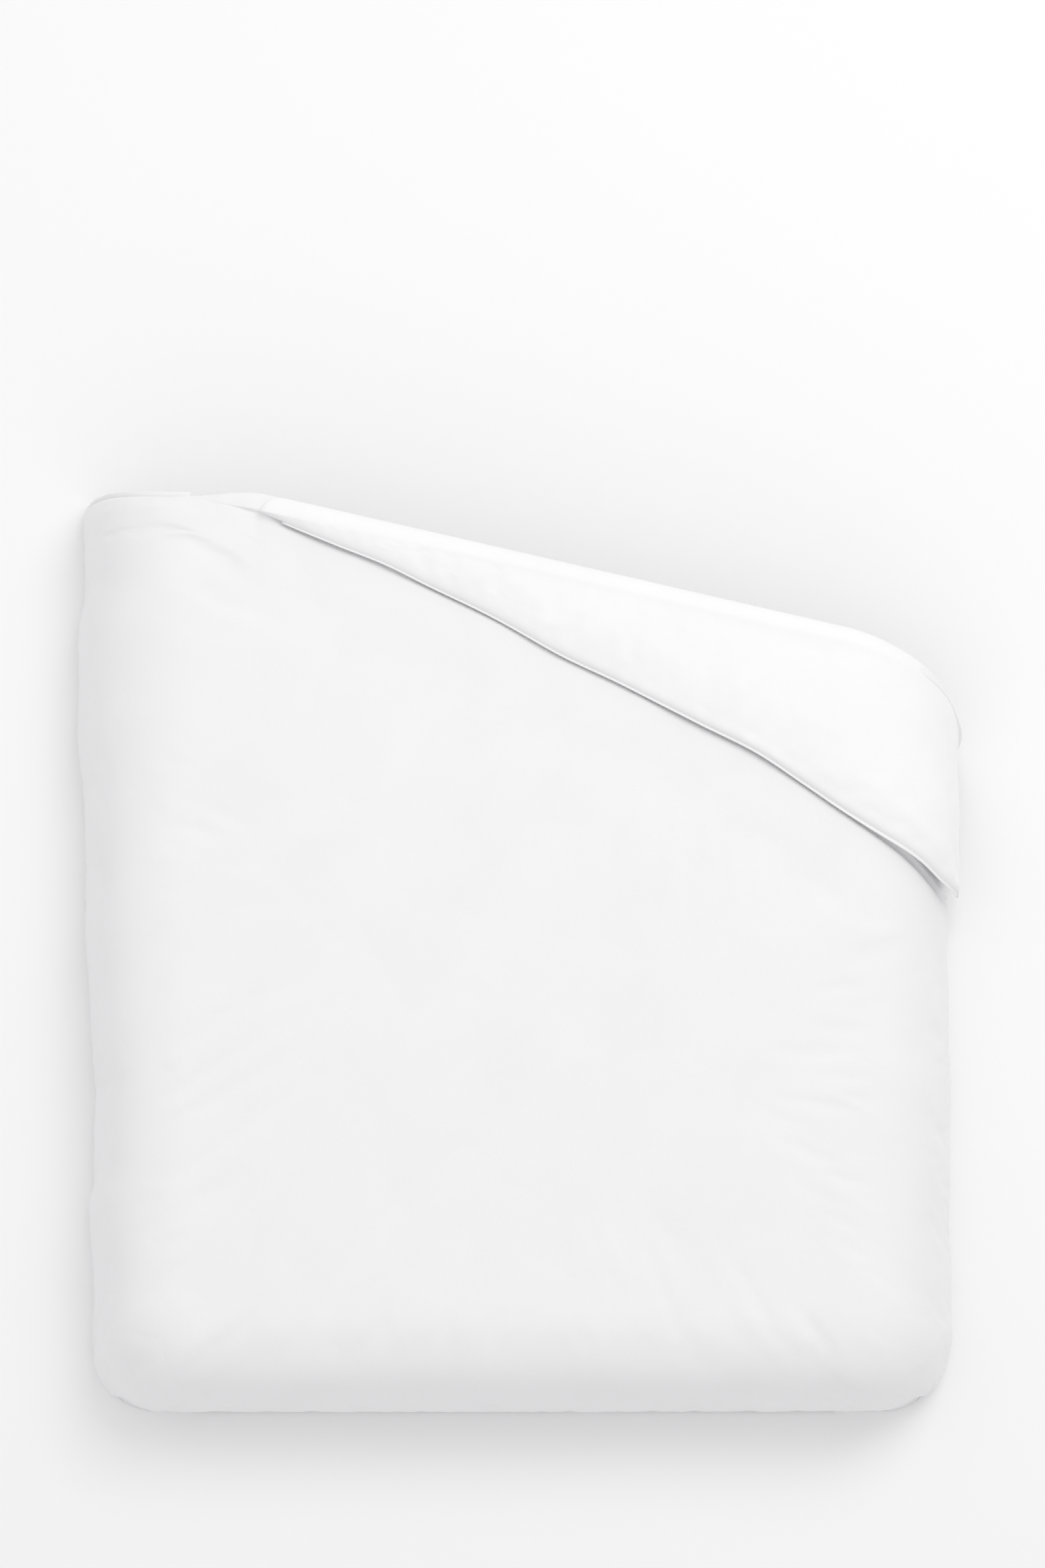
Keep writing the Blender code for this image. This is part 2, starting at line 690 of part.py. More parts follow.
def add_piece(name, points, faces, parent):
    mesh = bpy.data.meshes.new(name)
    origin = parent.location if parent else Vector()
    mesh.from_pydata([p - origin for p in points], [], faces)
    mesh.update()
    piece = bpy.data.objects.new(name, mesh)
    piece.data.materials.append(material(finish_of(name)))
    if parent:
        piece.parent = parent
    bpy.context.scene.collection.objects.link(piece)
    return piece


def build():
    for old in list(bpy.data.objects):
        bpy.data.objects.remove(old)
    pieces = {}
    pieces.update(cover_pieces())
    pieces.update(quilt_pieces())
    pieces.update(turned_pieces())
    everything = [p for points, faces in pieces.values() for p in points]
    low = Vector(min(p[i] for p in everything) for i in range(3))
    high = Vector(max(p[i] for p in everything) for i in range(3))
    origin = Vector(((low.x + high.x) / 2, (low.y + high.y) / 2, low.z))
    crease = place(BEND_POINT.x, BEND_POINT.y, FOLD_CENTRE) - origin
    hem_top = place(0, FOOT_SEAM - HEM_CLOTH / 2, MID + HEM_APART / 2 + HEM_CLOTH / 2) - origin
    turnback_hinge = pivot("turnback_hinge", crease)
    opening_hinge = pivot("opening_hinge", hem_top)
    for name, (points, faces) in pieces.items():
        parent = None
        if name.startswith(LIFTING):
            parent = turnback_hinge
        elif name.startswith(OPENING):
            parent = opening_hinge
        add_piece(name, [p - origin for p in points], faces, parent)


build()
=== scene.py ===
"""Looks of a white double duvet in its cover, draped as on a bed, with one head corner turned back."""

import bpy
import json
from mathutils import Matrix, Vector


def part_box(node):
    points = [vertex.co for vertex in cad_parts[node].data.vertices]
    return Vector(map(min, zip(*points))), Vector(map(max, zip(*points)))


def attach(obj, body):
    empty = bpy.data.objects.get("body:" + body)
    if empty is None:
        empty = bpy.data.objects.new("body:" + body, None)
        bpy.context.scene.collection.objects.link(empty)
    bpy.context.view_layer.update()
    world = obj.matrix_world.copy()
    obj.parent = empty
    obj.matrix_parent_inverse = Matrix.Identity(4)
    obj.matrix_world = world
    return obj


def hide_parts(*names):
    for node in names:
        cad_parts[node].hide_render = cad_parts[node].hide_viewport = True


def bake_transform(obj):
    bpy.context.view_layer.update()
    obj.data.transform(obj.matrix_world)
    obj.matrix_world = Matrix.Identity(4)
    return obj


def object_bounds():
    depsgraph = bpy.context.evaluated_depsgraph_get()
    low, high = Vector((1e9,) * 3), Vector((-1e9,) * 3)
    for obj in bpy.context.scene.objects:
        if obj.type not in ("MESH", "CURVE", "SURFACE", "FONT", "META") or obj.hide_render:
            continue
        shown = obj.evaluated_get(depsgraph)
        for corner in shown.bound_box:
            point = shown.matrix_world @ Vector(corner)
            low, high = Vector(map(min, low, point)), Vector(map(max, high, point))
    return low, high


bl_info = {
    "name": "Draped duvet",
    "version": (1, 0, 0),
    "blender": (4, 5, 0),
    "location": "3D View > Sidebar > Duvet",
    "description": "Builds a filled white duvet with a turned-back corner, around its packed frame",
    "category": "Object",
}

import json
import math

import bmesh
import bpy
import numpy as np
from mathutils import Matrix, Vector

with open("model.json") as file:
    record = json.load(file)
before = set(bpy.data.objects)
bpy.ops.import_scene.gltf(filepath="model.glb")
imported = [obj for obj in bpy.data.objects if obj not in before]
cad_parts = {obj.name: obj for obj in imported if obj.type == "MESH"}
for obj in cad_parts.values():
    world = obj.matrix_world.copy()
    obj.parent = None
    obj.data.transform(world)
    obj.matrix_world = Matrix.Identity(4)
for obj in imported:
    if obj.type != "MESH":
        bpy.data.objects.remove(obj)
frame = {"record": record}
cad_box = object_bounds()

NODES = [entry["node"] for entry in frame["record"]["subparts"]]
MOUNT = {m["name"]: m for m in frame["record"]["mounts"]}["mattress_face"]
CENTRE_X = (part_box("fill_row2_box2")[1][0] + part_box("fill_row2_box3")[0][0]) / 2
HEAD_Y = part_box("cover_face_panel")[1][1]
BED_TOP = MOUNT["pos_m"][2]
EASE = 0.050  # cloth starts to bend this far ahead of the mattress edge
LAP = 0.0012  # gap between the duvet and the corner that lies on it
CORNER_START = -0.475  # left end of the turned-back corner, from the centre line
CORNER_INSET = 0.004  # the corner's right end stays this far inside the side seam
CORNER_ROUND = 0.8  # the corner's edges rise over this share of the body's rounding

# Stations across a rounded edge, as shares of its width.
ROUNDING = np.array([0, 0.04, 0.10, 0.19, 0.31, 0.46, 0.64, 0.82])


def metres(name, default, text, low=0.0, high=4.0):
    """One size that a user may change."""
    return bpy.props.FloatProperty(
        name=name, default=default, min=low, max=high, subtype="DISTANCE", unit="LENGTH", description=text
    )


def colour(name, default, text):
    """One colour that a user may change."""
    return bpy.props.FloatVectorProperty(
        name=name, default=default, min=0, max=1, size=3, subtype="COLOR", description=text
    )


class DuvetSizes(bpy.types.PropertyGroup):
    """Sizes of the cover and of the way it lies."""

    width: metres("Width", 1.950, "Filled width between the side seams")
    length: metres("Length", 1.895, "Filled length from the foot edge to the head seam")
    loft: metres("Loft", 0.036, "Thickness of the filled duvet")
    edge_round: metres("Edge round", 0.046, "The cover rises to its full loft over this width")
    flat_half: metres("Flat half width", 0.635, "From the centre line to where the side bend starts")
    side_bend: metres("Side bend", 0.120, "Radius of the bend over the mattress side")
    side_slope: bpy.props.FloatProperty(
        name="Side slope", default=math.radians(75), subtype="ANGLE", description="Tilt of the hanging sides"
    )
    foot_bend: metres("Foot bend", 0.100, "Radius of the bend over the mattress foot")
    foot_slope: bpy.props.FloatProperty(
        name="Foot slope", default=math.radians(82), subtype="ANGLE", description="Tilt of the hanging foot"
    )
    corner_radius: metres("Corner radius", 0.110, "Rounding of the foot corners")
    seam: metres("Seam depth", 0.008, "How far a sewn edge stands out")
    hem: metres("Hem depth", 0.045, "Depth of the foot hems")
    opening: metres("Opening", 1.240, "Width of the foot opening")
    crease_start: metres("Crease start", 0.616, "Left of the centre line, on the head edge")
    crease_slope: bpy.props.FloatProperty(name="Crease slope", default=0.2328, description="Fall of the crease")
    crease_side: bpy.props.FloatProperty(
        name="Side crease slope", default=0.520, description="Fall of the crease over the side"
    )
    grid: metres("Mesh spacing", 0.013, "Spacing of the cloth's mesh", 0.004, 0.1)


class DuvetFinish(bpy.types.PropertyGroup):
    """Colours and finish."""

    cotton: colour("Cotton", (0.893, 0.89, 0.894), "Colour of the cover's face")
    # The reverse is the face's white cotton made lighter: painted light on the turned-back corner, which lies
    # where the light is brightest.
    reverse: colour("Reverse", (0.93, 0.928, 0.93), "Colour of the cover's reverse, which the corner shows")
    thread: colour("Thread", (0.80, 0.80, 0.81), "Colour of the stitching")
    stud: colour("Studs", (0.80, 0.81, 0.82), "Colour of the press studs")
    label: colour("Label", (0.84, 0.84, 0.84), "Colour of the blank label")
    floor: colour("Floor", (0.925, 0.925, 0.925), "Colour of the floor")
    rough: bpy.props.FloatProperty(
        name="Roughness", default=0.88, min=0, max=1, subtype="FACTOR", description="Roughness of the cotton"
    )


def sizes():
    return bpy.context.scene.duvet_sizes


def finish():
    return bpy.context.scene.duvet_finish


# ---------------------------------------------------------------- the drape


def smooth(t):
    """0 to 1 with a gentle start and end."""
    t = np.clip(t, 0, 1)
    return t * t * (3 - 2 * t)


def bend(s, radius, slope):
    """Run out, drop and tilt of the middle surface at s past the start of a bend."""
    tilt = np.clip(s / radius, 0, slope)
    rest = np.maximum(s - radius * tilt, 0)
    run = radius * np.sin(tilt) + rest * np.cos(tilt)
    drop = radius * (1 - np.cos(tilt)) + rest * np.sin(tilt)
    return run, drop, tilt


def eased(s, radius, slope, total):
    """The same bend as cloth makes it: it starts early and turns gently, and ends where the plain bend ends."""
    length = radius * slope + 2 * EASE
    way = np.linspace(0, total + 0.15, 900)
    tilt = slope * smooth(way / length)
    step = way[1] - way[0]
    run = np.concatenate([[0], np.cumsum(np.cos((tilt[1:] + tilt[:-1]) / 2) * step)])
    drop = np.concatenate([[0], np.cumsum(np.sin((tilt[1:] + tilt[:-1]) / 2) * step)])
    end_run, end_drop, _ = bend(np.float64(total - EASE), radius, slope)
    run *= (EASE + end_run) / np.interp(total, way, run)
    drop *= end_drop / np.interp(total, way, drop)
    return np.interp(s, way, run), np.interp(s, way, drop), np.interp(s, way, tilt)


def side_hang():
    p = sizes()
    return p.width / 2 + p.seam - p.flat_half


def foot_fall():
    """Cloth past the start of the foot bend, so that the foot hangs as deep as the sides."""
    p = sizes()
    depth = bend(np.float64(side_hang()), p.side_bend, p.side_slope)[1]
    arc = p.foot_bend * p.foot_slope
    return arc + (depth - p.foot_bend * (1 - math.cos(p.foot_slope))) / math.sin(p.foot_slope)


def drape(u, v, n):
    """Lay flat points over the bed: u from the centre line, v from the foot, n from the underside."""
    p = sizes()
    u, v, n = np.broadcast_arrays(*(np.asarray(a, float) for a in (u, v, n)))
    mid = p.loft / 2
    hang, fall, flat_half = side_hang() + EASE, foot_fall() + EASE, p.flat_half - EASE
    over_side = np.maximum((np.abs(u) - flat_half) / hang, 0)
    over_foot = np.maximum((fall - v) / fall, 0)
    level = np.maximum(over_side, over_foot)
    safe = np.maximum(level, 1e-9)
    across = np.where(over_side >= over_foot, 0.5 * over_foot / safe, 1 - 0.5 * over_side / safe)
    side_run, side_drop, side_tilt = eased(level * hang, p.side_bend, p.side_slope, hang)
    foot_run, foot_drop, foot_tilt = eased(level * fall, p.foot_bend, p.foot_slope, fall)
    radius = np.minimum(np.minimum(p.corner_radius, side_run), foot_run)
    first = foot_run - radius
    arc = radius * math.pi / 2
    path = across * (first + arc + side_run - radius)
    heading = np.clip((path - first) / np.maximum(radius, 1e-9), 0, math.pi / 2)
    x = flat_half + side_run - radius + radius * np.cos(heading) - np.maximum(path - first - arc, 0)
    y = fall - np.minimum(path, first) - radius * np.sin(heading)
    at_side = (over_foot <= 0) & (over_side > 0)
    at_foot = (over_side <= 0) & (over_foot > 0)
    flat = level <= 0
    heading = np.where(at_side, 0, np.where(at_foot, math.pi / 2, heading))
    x = np.where(at_side, flat_half + side_run, np.where(at_foot | flat, np.abs(u), x))
    y = np.where(at_foot, fall - foot_run, np.where(at_side | flat, v, y))
    drop = side_drop + (foot_drop - side_drop) * across
    tilt = side_tilt + (foot_tilt - side_tilt) * across
    drop, tilt = np.where(flat, 0, drop), np.where(flat, 0, tilt)
    out = (n - mid) * np.sin(tilt)
    x = x + out * np.cos(heading)
    y = y - out * np.sin(heading)
    z = BED_TOP + mid - drop + (n - mid) * np.cos(tilt)
    x = x - hang_drift(u, v) * smooth(over_side * 1.3)
    x = x - 0.011 * smooth((u - 0.89) / 0.07) * smooth((v - 1.22) / 0.12)
    y = y + 0.026 * smooth((v - 1.70) / 0.19) * smooth(over_side) * (u < 0)
    return np.stack([CENTRE_X + np.copysign(x, u), HEAD_Y - p.length + y, z], axis=-1)


def hump(x, place, width):
    """1 at the place, dying out on both sides of it."""
    return np.exp(-(((x - place) / width) ** 2))


# Steps in the hang of the left side: place above the foot, width, and how far in.
LEFT_STEPS = ((0.805, 0.014, 0.0035), (0.640, 0.020, 0.0030), (0.590, 0.018, -0.0025), (0.570, 0.070, -0.0080))


def hang_drift(u, v):
    """How much further in the sides hang towards the foot, with small steps on the left."""
    left = 0.021 * smooth((1.16 - v) / 0.40) - 0.017 * smooth((v - 1.28) / 0.22)
    left = left + 0.010 * smooth((v - 1.66) / 0.10) + 0.0012 * np.sin(v * 33) * smooth(v / 0.3)
    for place, width, inward in LEFT_STEPS:
        left = left + inward * hump(v, place, width)
    right = -0.013 + 0.009 * smooth((0.40 - v) / 0.35)
    right = right + 0.0022 * np.sin(v * 13.0 + 0.5) + 0.0012 * np.sin(v * 37.0)
    return np.where(u < 0, left, right)


def fold_puff(u, beyond, extra=0.0):
    """The fold stands off the mattress side, most at the crease itself."""
    return (0.005 + extra) * smooth((u - 0.60) / 0.16) * (1 - smooth(beyond / 0.34))


def groove(u, v, start, end, width, depth):
    """A short soft crease between two points of the flat cloth."""
    a, b = np.array(start), np.array(end)
    way = b - a
    t = np.clip(((u - a[0]) * way[0] + (v - a[1]) * way[1]) / (way @ way), 0, 1)
    off = np.hypot(u - a[0] - t * way[0], v - a[1] - t * way[1])
    return -depth * np.exp(-((off / width) ** 2))


def rise(edge, width):
    """How much of its full loft the duvet has at this distance from its edge."""
    short = 1 - np.clip(edge / width, 0, 1)
    return np.sqrt(1 - short * short)


def crease_v(u):
    """The fold's centre line, across the flat duvet, with a soft turn at the mattress edge."""
    p = sizes()
    past = np.asarray(u) - p.flat_half
    soft = 0.03  # half the length of the turn
    past = np.where(past > soft, past, np.where(past < -soft, 0, (past + soft) ** 2 / (4 * soft)))
    line = p.length - p.crease_slope * (np.asarray(u) + p.crease_start)
    return line - (p.crease_side - p.crease_slope) * past


# The turned-back hem as it lies: place from the centre line, and distance below the head seam.
HEM_POINTS = (
    (-0.500, -0.020), (-0.385, -0.071), (-0.332, -0.093), (-0.240, -0.130), (-0.155, -0.172), (-0.030, -0.234),
    (0.087, -0.301), (0.198, -0.354), (0.347, -0.431), (0.458, -0.488), (0.540, -0.543), (0.610, -0.592),
    (0.700, -0.656), (0.780, -0.706), (0.872, -0.733),
)


def through(points, where):
    """A smooth curve through given points, read at any x."""
    xs = np.array([a for a, b in points])
    ys = np.array([b for a, b in points])
    slopes = np.gradient(ys, xs)
    k = np.clip(np.searchsorted(xs, where) - 1, 0, len(xs) - 2)
    h = xs[k + 1] - xs[k]
    t = np.clip((where - xs[k]) / h, 0, 1)
    a = (1 + 2 * t) * (1 - t) ** 2 * ys[k] + t * (1 - t) ** 2 * h * slopes[k]
    b = t * t * (3 - 2 * t) * ys[k + 1] + t * t * (t - 1) * h * slopes[k + 1]
    return a + b


def waves(u, v, seed=0.0):
    """Slow unevenness of the filling, from -1 to 1."""
    a = np.sin(5.1 * u + 1.7 + seed) * np.cos(4.3 * v - 0.6 + seed)
    b = np.sin(9.7 * u - 3.1 * v + 2.2 * seed) * np.cos(7.9 * v + 2.4 * u)
    c = np.sin(17.0 * u + 11.0 * v + seed) * np.sin(14.0 * v - 9.0 * u + 0.8)
    return (a + 0.55 * b + 0.25 * c) / 1.8


def puckers(along, edge, pitch, reach, seed):
    """Short gathers that a seam draws into the cloth, dying out away from it."""
    phase = along / pitch
    uneven = 0.6 + 0.4 * np.sin(phase * 1.31 + seed)
    ripple = np.sin(2 * math.pi * phase + 1.9 * np.sin(phase * 0.83 + seed)) * uneven
    return ripple * np.exp(-((edge / reach) ** 2)) * smooth(edge / (reach * 0.25))


# ---------------------------------------------------------------- mesh helpers


def new_mesh(name, points, faces, flat_uv, hold=None):
    """A linked object from points and faces, with the flat cloth as its UV map and its hold at each point."""
    mesh = bpy.data.meshes.new(name)
    mesh.from_pydata([tuple(p) for p in points], [], faces)
    mesh.update()
    if hold is not None:
        held = mesh.attributes.new("hold", "FLOAT", "POINT")
        held.data.foreach_set("value", np.ravel(hold).astype(np.float32))
    layer = mesh.uv_layers.new(name="cloth")
    where = np.empty(len(mesh.loops), dtype=np.int32)
    mesh.loops.foreach_get("vertex_index", where)
    layer.data.foreach_set("uv", np.asarray(flat_uv, dtype=np.float32)[where].ravel())
    piece = bpy.data.objects.new(name, mesh)
    bpy.context.scene.collection.objects.link(piece)
    return piece


def clean(piece, distance=2e-5):
    """Weld doubled points, drop flattened faces, close what is left open, and point the faces out."""
    bm = bmesh.new()
    bm.from_mesh(piece.data)
    bmesh.ops.remove_doubles(bm, verts=bm.verts[:], dist=distance)
    bmesh.ops.dissolve_degenerate(bm, edges=bm.edges[:], dist=1e-6)
    edges = [e for e in bm.edges if e.is_boundary]
    if edges:
        bmesh.ops.holes_fill(bm, edges=edges, sides=0)
    bmesh.ops.recalc_face_normals(bm, faces=bm.faces[:])
    bm.to_mesh(piece.data)
    bm.free()
    piece.data.shade_smooth()
    return piece


def rings_mesh(name, rings, uv, hold=None):
    """A closed skin over equal rings of points. Each ring runs once around and meets itself."""
    rings = np.asarray(rings)
    count, size = rings.shape[:2]
    index = np.arange(count * size).reshape(count, size)
    a, b = index[:-1], index[1:]
    quads = np.stack([a, np.roll(a, -1, 1), np.roll(b, -1, 1), b], axis=-1).reshape(-1, 4)
    return new_mesh(name, rings.reshape(-1, 3), quads.tolist(), np.asarray(uv).reshape(-1, 2), hold)


def spread(low, high, step, ends):
    """Stations from low to high, closer together near the ends."""
    count = max(int(round((high - low) / step)), 8)
    middle = np.linspace(low, high, count + 1)
    near = ends * ROUNDING
    keep = middle[(middle > low + ends) & (middle < high - ends)]
    return np.unique(np.concatenate([low + near, [low + ends], keep, [high - ends], high - near]))


def travelled(a, b):
    """Length gone along a line of points, at each point."""
    return np.concatenate([[0], np.cumsum(np.hypot(np.diff(a), np.diff(b)))])


# ---------------------------------------------------------------- materials


def group(name, inputs, outputs):
    """An empty node group with its sockets, and its two end nodes."""
    tree = bpy.data.node_groups.new(name, "ShaderNodeTree")
    for label, kind, value in inputs:
        socket = tree.interface.new_socket(name=label, in_out="INPUT", socket_type=kind)
        if value is not None:
            socket.default_value = value
    for label, kind in outputs:
        tree.interface.new_socket(name=label, in_out="OUTPUT", socket_type=kind)
    return tree, tree.nodes.new("NodeGroupInput"), tree.nodes.new("NodeGroupOutput")


def maths(tree, operation, a, b=None):
    """One maths node. Numbers are set on it and sockets are linked to it."""
    node = tree.nodes.new("ShaderNodeMath")
    node.operation = operation
    for i, value in enumerate((a, b)):
        if value is None:
            continue
        if isinstance(value, (int, float)):
            node.inputs[i].default_value = value
        else:
            tree.links.new(value, node.inputs[i])
    return node.outputs[0]


def woven_group():
    """Plain weave: threads over and under each other, with slubs. Puts out a height and a tone."""
    found = bpy.data.node_groups.get("plain_weave")
    if found:
        return found
    tree, start, end = group(
        "plain_weave",
        [("Cloth", "NodeSocketVector", None), ("Thread", "NodeSocketFloat", 0.0012)],
        [("Height", "NodeSocketFloat"), ("Tone", "NodeSocketFloat")],
    )
    split = tree.nodes.new("ShaderNodeSeparateXYZ")
    tree.links.new(start.outputs["Cloth"], split.inputs[0])
    threads = []
    for axis in (0, 1):
        turns = maths(tree, "DIVIDE", split.outputs[axis], start.outputs["Thread"])
        threads.append(maths(tree, "SINE", maths(tree, "MULTIPLY", turns, math.pi)))
    weave = maths(tree, "MULTIPLY", threads[0], threads[1])
    slub = tree.nodes.new("ShaderNodeTexNoise")
    slub.inputs["Scale"].default_value = 420.0
    slub.inputs["Detail"].default_value = 2.0
    stretch = tree.nodes.new("ShaderNodeMapping")
    stretch.inputs["Scale"].default_value = (1.0, 0.18, 1.0)
    tree.links.new(start.outputs["Cloth"], stretch.inputs["Vector"])
    tree.links.new(stretch.outputs["Vector"], slub.inputs["Vector"])
    both = maths(tree, "ADD", maths(tree, "MULTIPLY", weave, 0.5), slub.outputs[0])
    tree.links.new(both, end.inputs["Height"])
    tone = maths(tree, "MULTIPLY", maths(tree, "ABSOLUTE", weave), 0.6)
    mottle = maths(tree, "MULTIPLY", slub.outputs[0], 0.4)
    tree.links.new(maths(tree, "ADD", tone, mottle), end.inputs["Tone"])
    return tree


def crumple_group():
    """Faint pressing creases and dimples of washed cotton over soft filling."""
    found = bpy.data.node_groups.get("soft_crumple")
    if found:
        return found
    tree, start, end = group(
        "soft_crumple",
        [("Cloth", "NodeSocketVector", None), ("Scale", "NodeSocketFloat", 9.0)],
        [("Height", "NodeSocketFloat"), ("Tone", "NodeSocketFloat")],
    )
    broad = tree.nodes.new("ShaderNodeTexNoise")
    broad.inputs["Detail"].default_value = 4.0
    broad.inputs["Roughness"].default_value = 0.45
    broad.inputs["Distortion"].default_value = 0.6
    tree.links.new(start.outputs["Cloth"], broad.inputs["Vector"])
    tree.links.new(start.outputs["Scale"], broad.inputs["Scale"])
    ridge = maths(tree, "ABSOLUTE", maths(tree, "SUBTRACT", broad.outputs[0], 0.5))
    fine = tree.nodes.new("ShaderNodeTexNoise")
    fine.inputs["Detail"].default_value = 3.0
    tree.links.new(start.outputs["Cloth"], fine.inputs["Vector"])
    tree.links.new(maths(tree, "MULTIPLY", start.outputs["Scale"], 6.0), fine.inputs["Scale"])
    ridges = maths(tree, "MULTIPLY", ridge, 1.6)
    dimples = maths(tree, "MULTIPLY", fine.outputs[0], 0.25)
    tree.links.new(maths(tree, "ADD", ridges, dimples), end.inputs["Height"])
    tree.links.new(broad.outputs[0], end.inputs["Tone"])
    return tree


def place_group(tree, kind, **values):
    """A node group in a material, with its values set."""
    node = tree.nodes.new("ShaderNodeGroup")
    node.node_tree = kind
    for name, value in values.items():
        node.inputs[name].default_value = value
    return node


def cloth_material(name, base, rough, thread, weave_depth, crumple_depth, sheen):
    """Cotton cloth: weave and crumple in the bump, and a slight unevenness of tone."""
    made = bpy.data.materials.new(name)
    made.use_nodes = True
    tree = made.node_tree
    shader = tree.nodes["Principled BSDF"]
    shader.inputs["Roughness"].default_value = rough
    shader.inputs["Metallic"].default_value = 0.0
    shader.inputs["Sheen Weight"].default_value = sheen
    shader.inputs["Sheen Roughness"].default_value = 0.5
    shader.inputs["Specular IOR Level"].default_value = 0.25
    where = tree.nodes.new("ShaderNodeUVMap")
    where.uv_map = "cloth"
    weave = place_group(tree, woven_group(), Thread=thread)
    crumple = place_group(tree, crumple_group(), Scale=7.0)
    tree.links.new(where.outputs[0], weave.inputs["Cloth"])
    tree.links.new(where.outputs[0], crumple.inputs["Cloth"])
    tone = tree.nodes.new("ShaderNodeMapRange")
    tone.inputs["To Min"].default_value = 0.935
    tone.inputs["To Max"].default_value = 1.03
    both = maths(tree, "ADD", crumple.outputs["Tone"], weave.outputs["Tone"])
    tree.links.new(maths(tree, "MULTIPLY", both, 0.5), tone.inputs["Value"])
    mix = tree.nodes.new("ShaderNodeMix")
    mix.data_type = "RGBA"
    mix.blend_type = "MULTIPLY"
    mix.inputs["Factor"].default_value = 1.0
    mix.inputs["A"].default_value = (*base, 1.0)
    tree.links.new(tone.outputs[0], mix.inputs["B"])
    tree.links.new(mix.outputs["Result"], shader.inputs["Base Color"])
    low = tree.nodes.new("ShaderNodeBump")
    low.inputs["Strength"].default_value = 1.0
    low.inputs["Distance"].default_value = crumple_depth
    tree.links.new(crumple.outputs["Height"], low.inputs["Height"])
    high = tree.nodes.new("ShaderNodeBump")
    high.inputs["Strength"].default_value = 0.6
    high.inputs["Distance"].default_value = weave_depth
    tree.links.new(weave.outputs["Height"], high.inputs["Height"])
    tree.links.new(low.outputs["Normal"], high.inputs["Normal"])
    tree.links.new(high.outputs["Normal"], shader.inputs["Normal"])
    return made


def plain_material(name, base, rough, grain, depth):
    """Moulded plastic or floor: a fine grain in the bump and in the roughness."""
    made = bpy.data.materials.new(name)
    made.use_nodes = True
    tree = made.node_tree
    shader = tree.nodes["Principled BSDF"]
    shader.inputs["Base Color"].default_value = (*base, 1.0)
    noise = tree.nodes.new("ShaderNodeTexNoise")
    noise.inputs["Scale"].default_value = grain
    noise.inputs["Detail"].default_value = 3.0
    where = tree.nodes.new("ShaderNodeTexCoord")
    tree.links.new(where.outputs["Object"], noise.inputs["Vector"])
    spread_node = tree.nodes.new("ShaderNodeMapRange")
    spread_node.inputs["To Min"].default_value = rough * 0.9
    spread_node.inputs["To Max"].default_value = min(rough * 1.1, 1.0)
    tree.links.new(noise.outputs[0], spread_node.inputs["Value"])
    tree.links.new(spread_node.outputs[0], shader.inputs["Roughness"])
    bump = tree.nodes.new("ShaderNodeBump")
    bump.inputs["Distance"].default_value = depth
    bump.inputs["Strength"].default_value = 0.5
    tree.links.new(noise.outputs[0], bump.inputs["Height"])
    tree.links.new(bump.outputs["Normal"], shader.inputs["Normal"])
    return made


def material(kind):
    """The finish of one kind of piece, made once."""
    found = bpy.data.materials.get("duvet_" + kind)
    if found:
        return found
    f = finish()
    # Colour, roughness, thread pitch, depth of the weave, depth of the crumple, and sheen.
    cloths = {
        "cotton": (f.cotton, f.rough, 0.0011, 0.00012, 0.0016, 0.25),
        # The reverse: the same cotton made lighter, as painted light on the turned-back corner.
        "reverse": (f.reverse, f.rough, 0.0011, 0.00012, 0.0016, 0.25),
        "edge": (f.cotton, f.rough, 0.0011, 0.00012, 0.0006, 0.2),
        "thread": (f.thread, 0.7, 0.0006, 0.0001, 0.0002, 0.1),
        "label": (f.label, 0.4, 0.0005, 0.00005, 0.0003, 0.3),
    }
    # Colour, roughness, fineness and depth of the grain.
    plains = {"stud": (f.stud, 0.32, 900.0, 0.00003), "floor": (f.floor, 0.95, 60.0, 0.0002)}
    if kind in cloths:
        return cloth_material("duvet_" + kind, *cloths[kind])
    return plain_material("duvet_" + kind, *plains[kind])


def dress(piece, kind, body):
    """Give a piece its finish, and the body that it rides on."""
    piece.data.materials.append(material(kind))
    if body:
        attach(piece, body)


# ---------------------------------------------------------------- the body of the duvet


def flap_width(u):
    """Distance from the crease to the turned-back hem, square to the crease."""
    p = sizes()
    reach = crease_v(u) - (p.length + through(HEM_POINTS, u))
    return np.maximum(reach, 0) * math.cos(math.atan(p.crease_slope))


def edge_level(u):
    """Height of the seam's middle along the turned-back edge: low, with small lifts off the duvet below."""
    lift = 0.0035 * np.sin(9 * u + 1.0) ** 2 + 0.0020 * np.sin(23 * u + 0.4) ** 2
    return sizes().loft + 0.0075 + lift


def crown(u, free):
    """Height of the turned-back corner's top, this far in from its nearest edge."""
    p = sizes()
    level = edge_level(u)
    climb = (1.5 * p.loft + LAP - level) * smooth(free / 0.09)
    return level + climb + p.loft / 2 * rise(free, CORNER_ROUND * p.edge_round)


# Rows of the body beside the turned-back hem, where the hem presses its groove.
HEM_ROWS = np.array([-40, -30, -22, -16, -11, -7, -4, -1.5, 1, 4, 8, 13]) / 1000
GROOVE_DEPTH = 0.0115
GROOVE_WIDTH = 0.0048
ROLL_TUCK = 0.0015  # the roll stays this far under the corner that laps it
ROLL_END_ROUND = 0.11  # the roll narrows over this width at the side seam


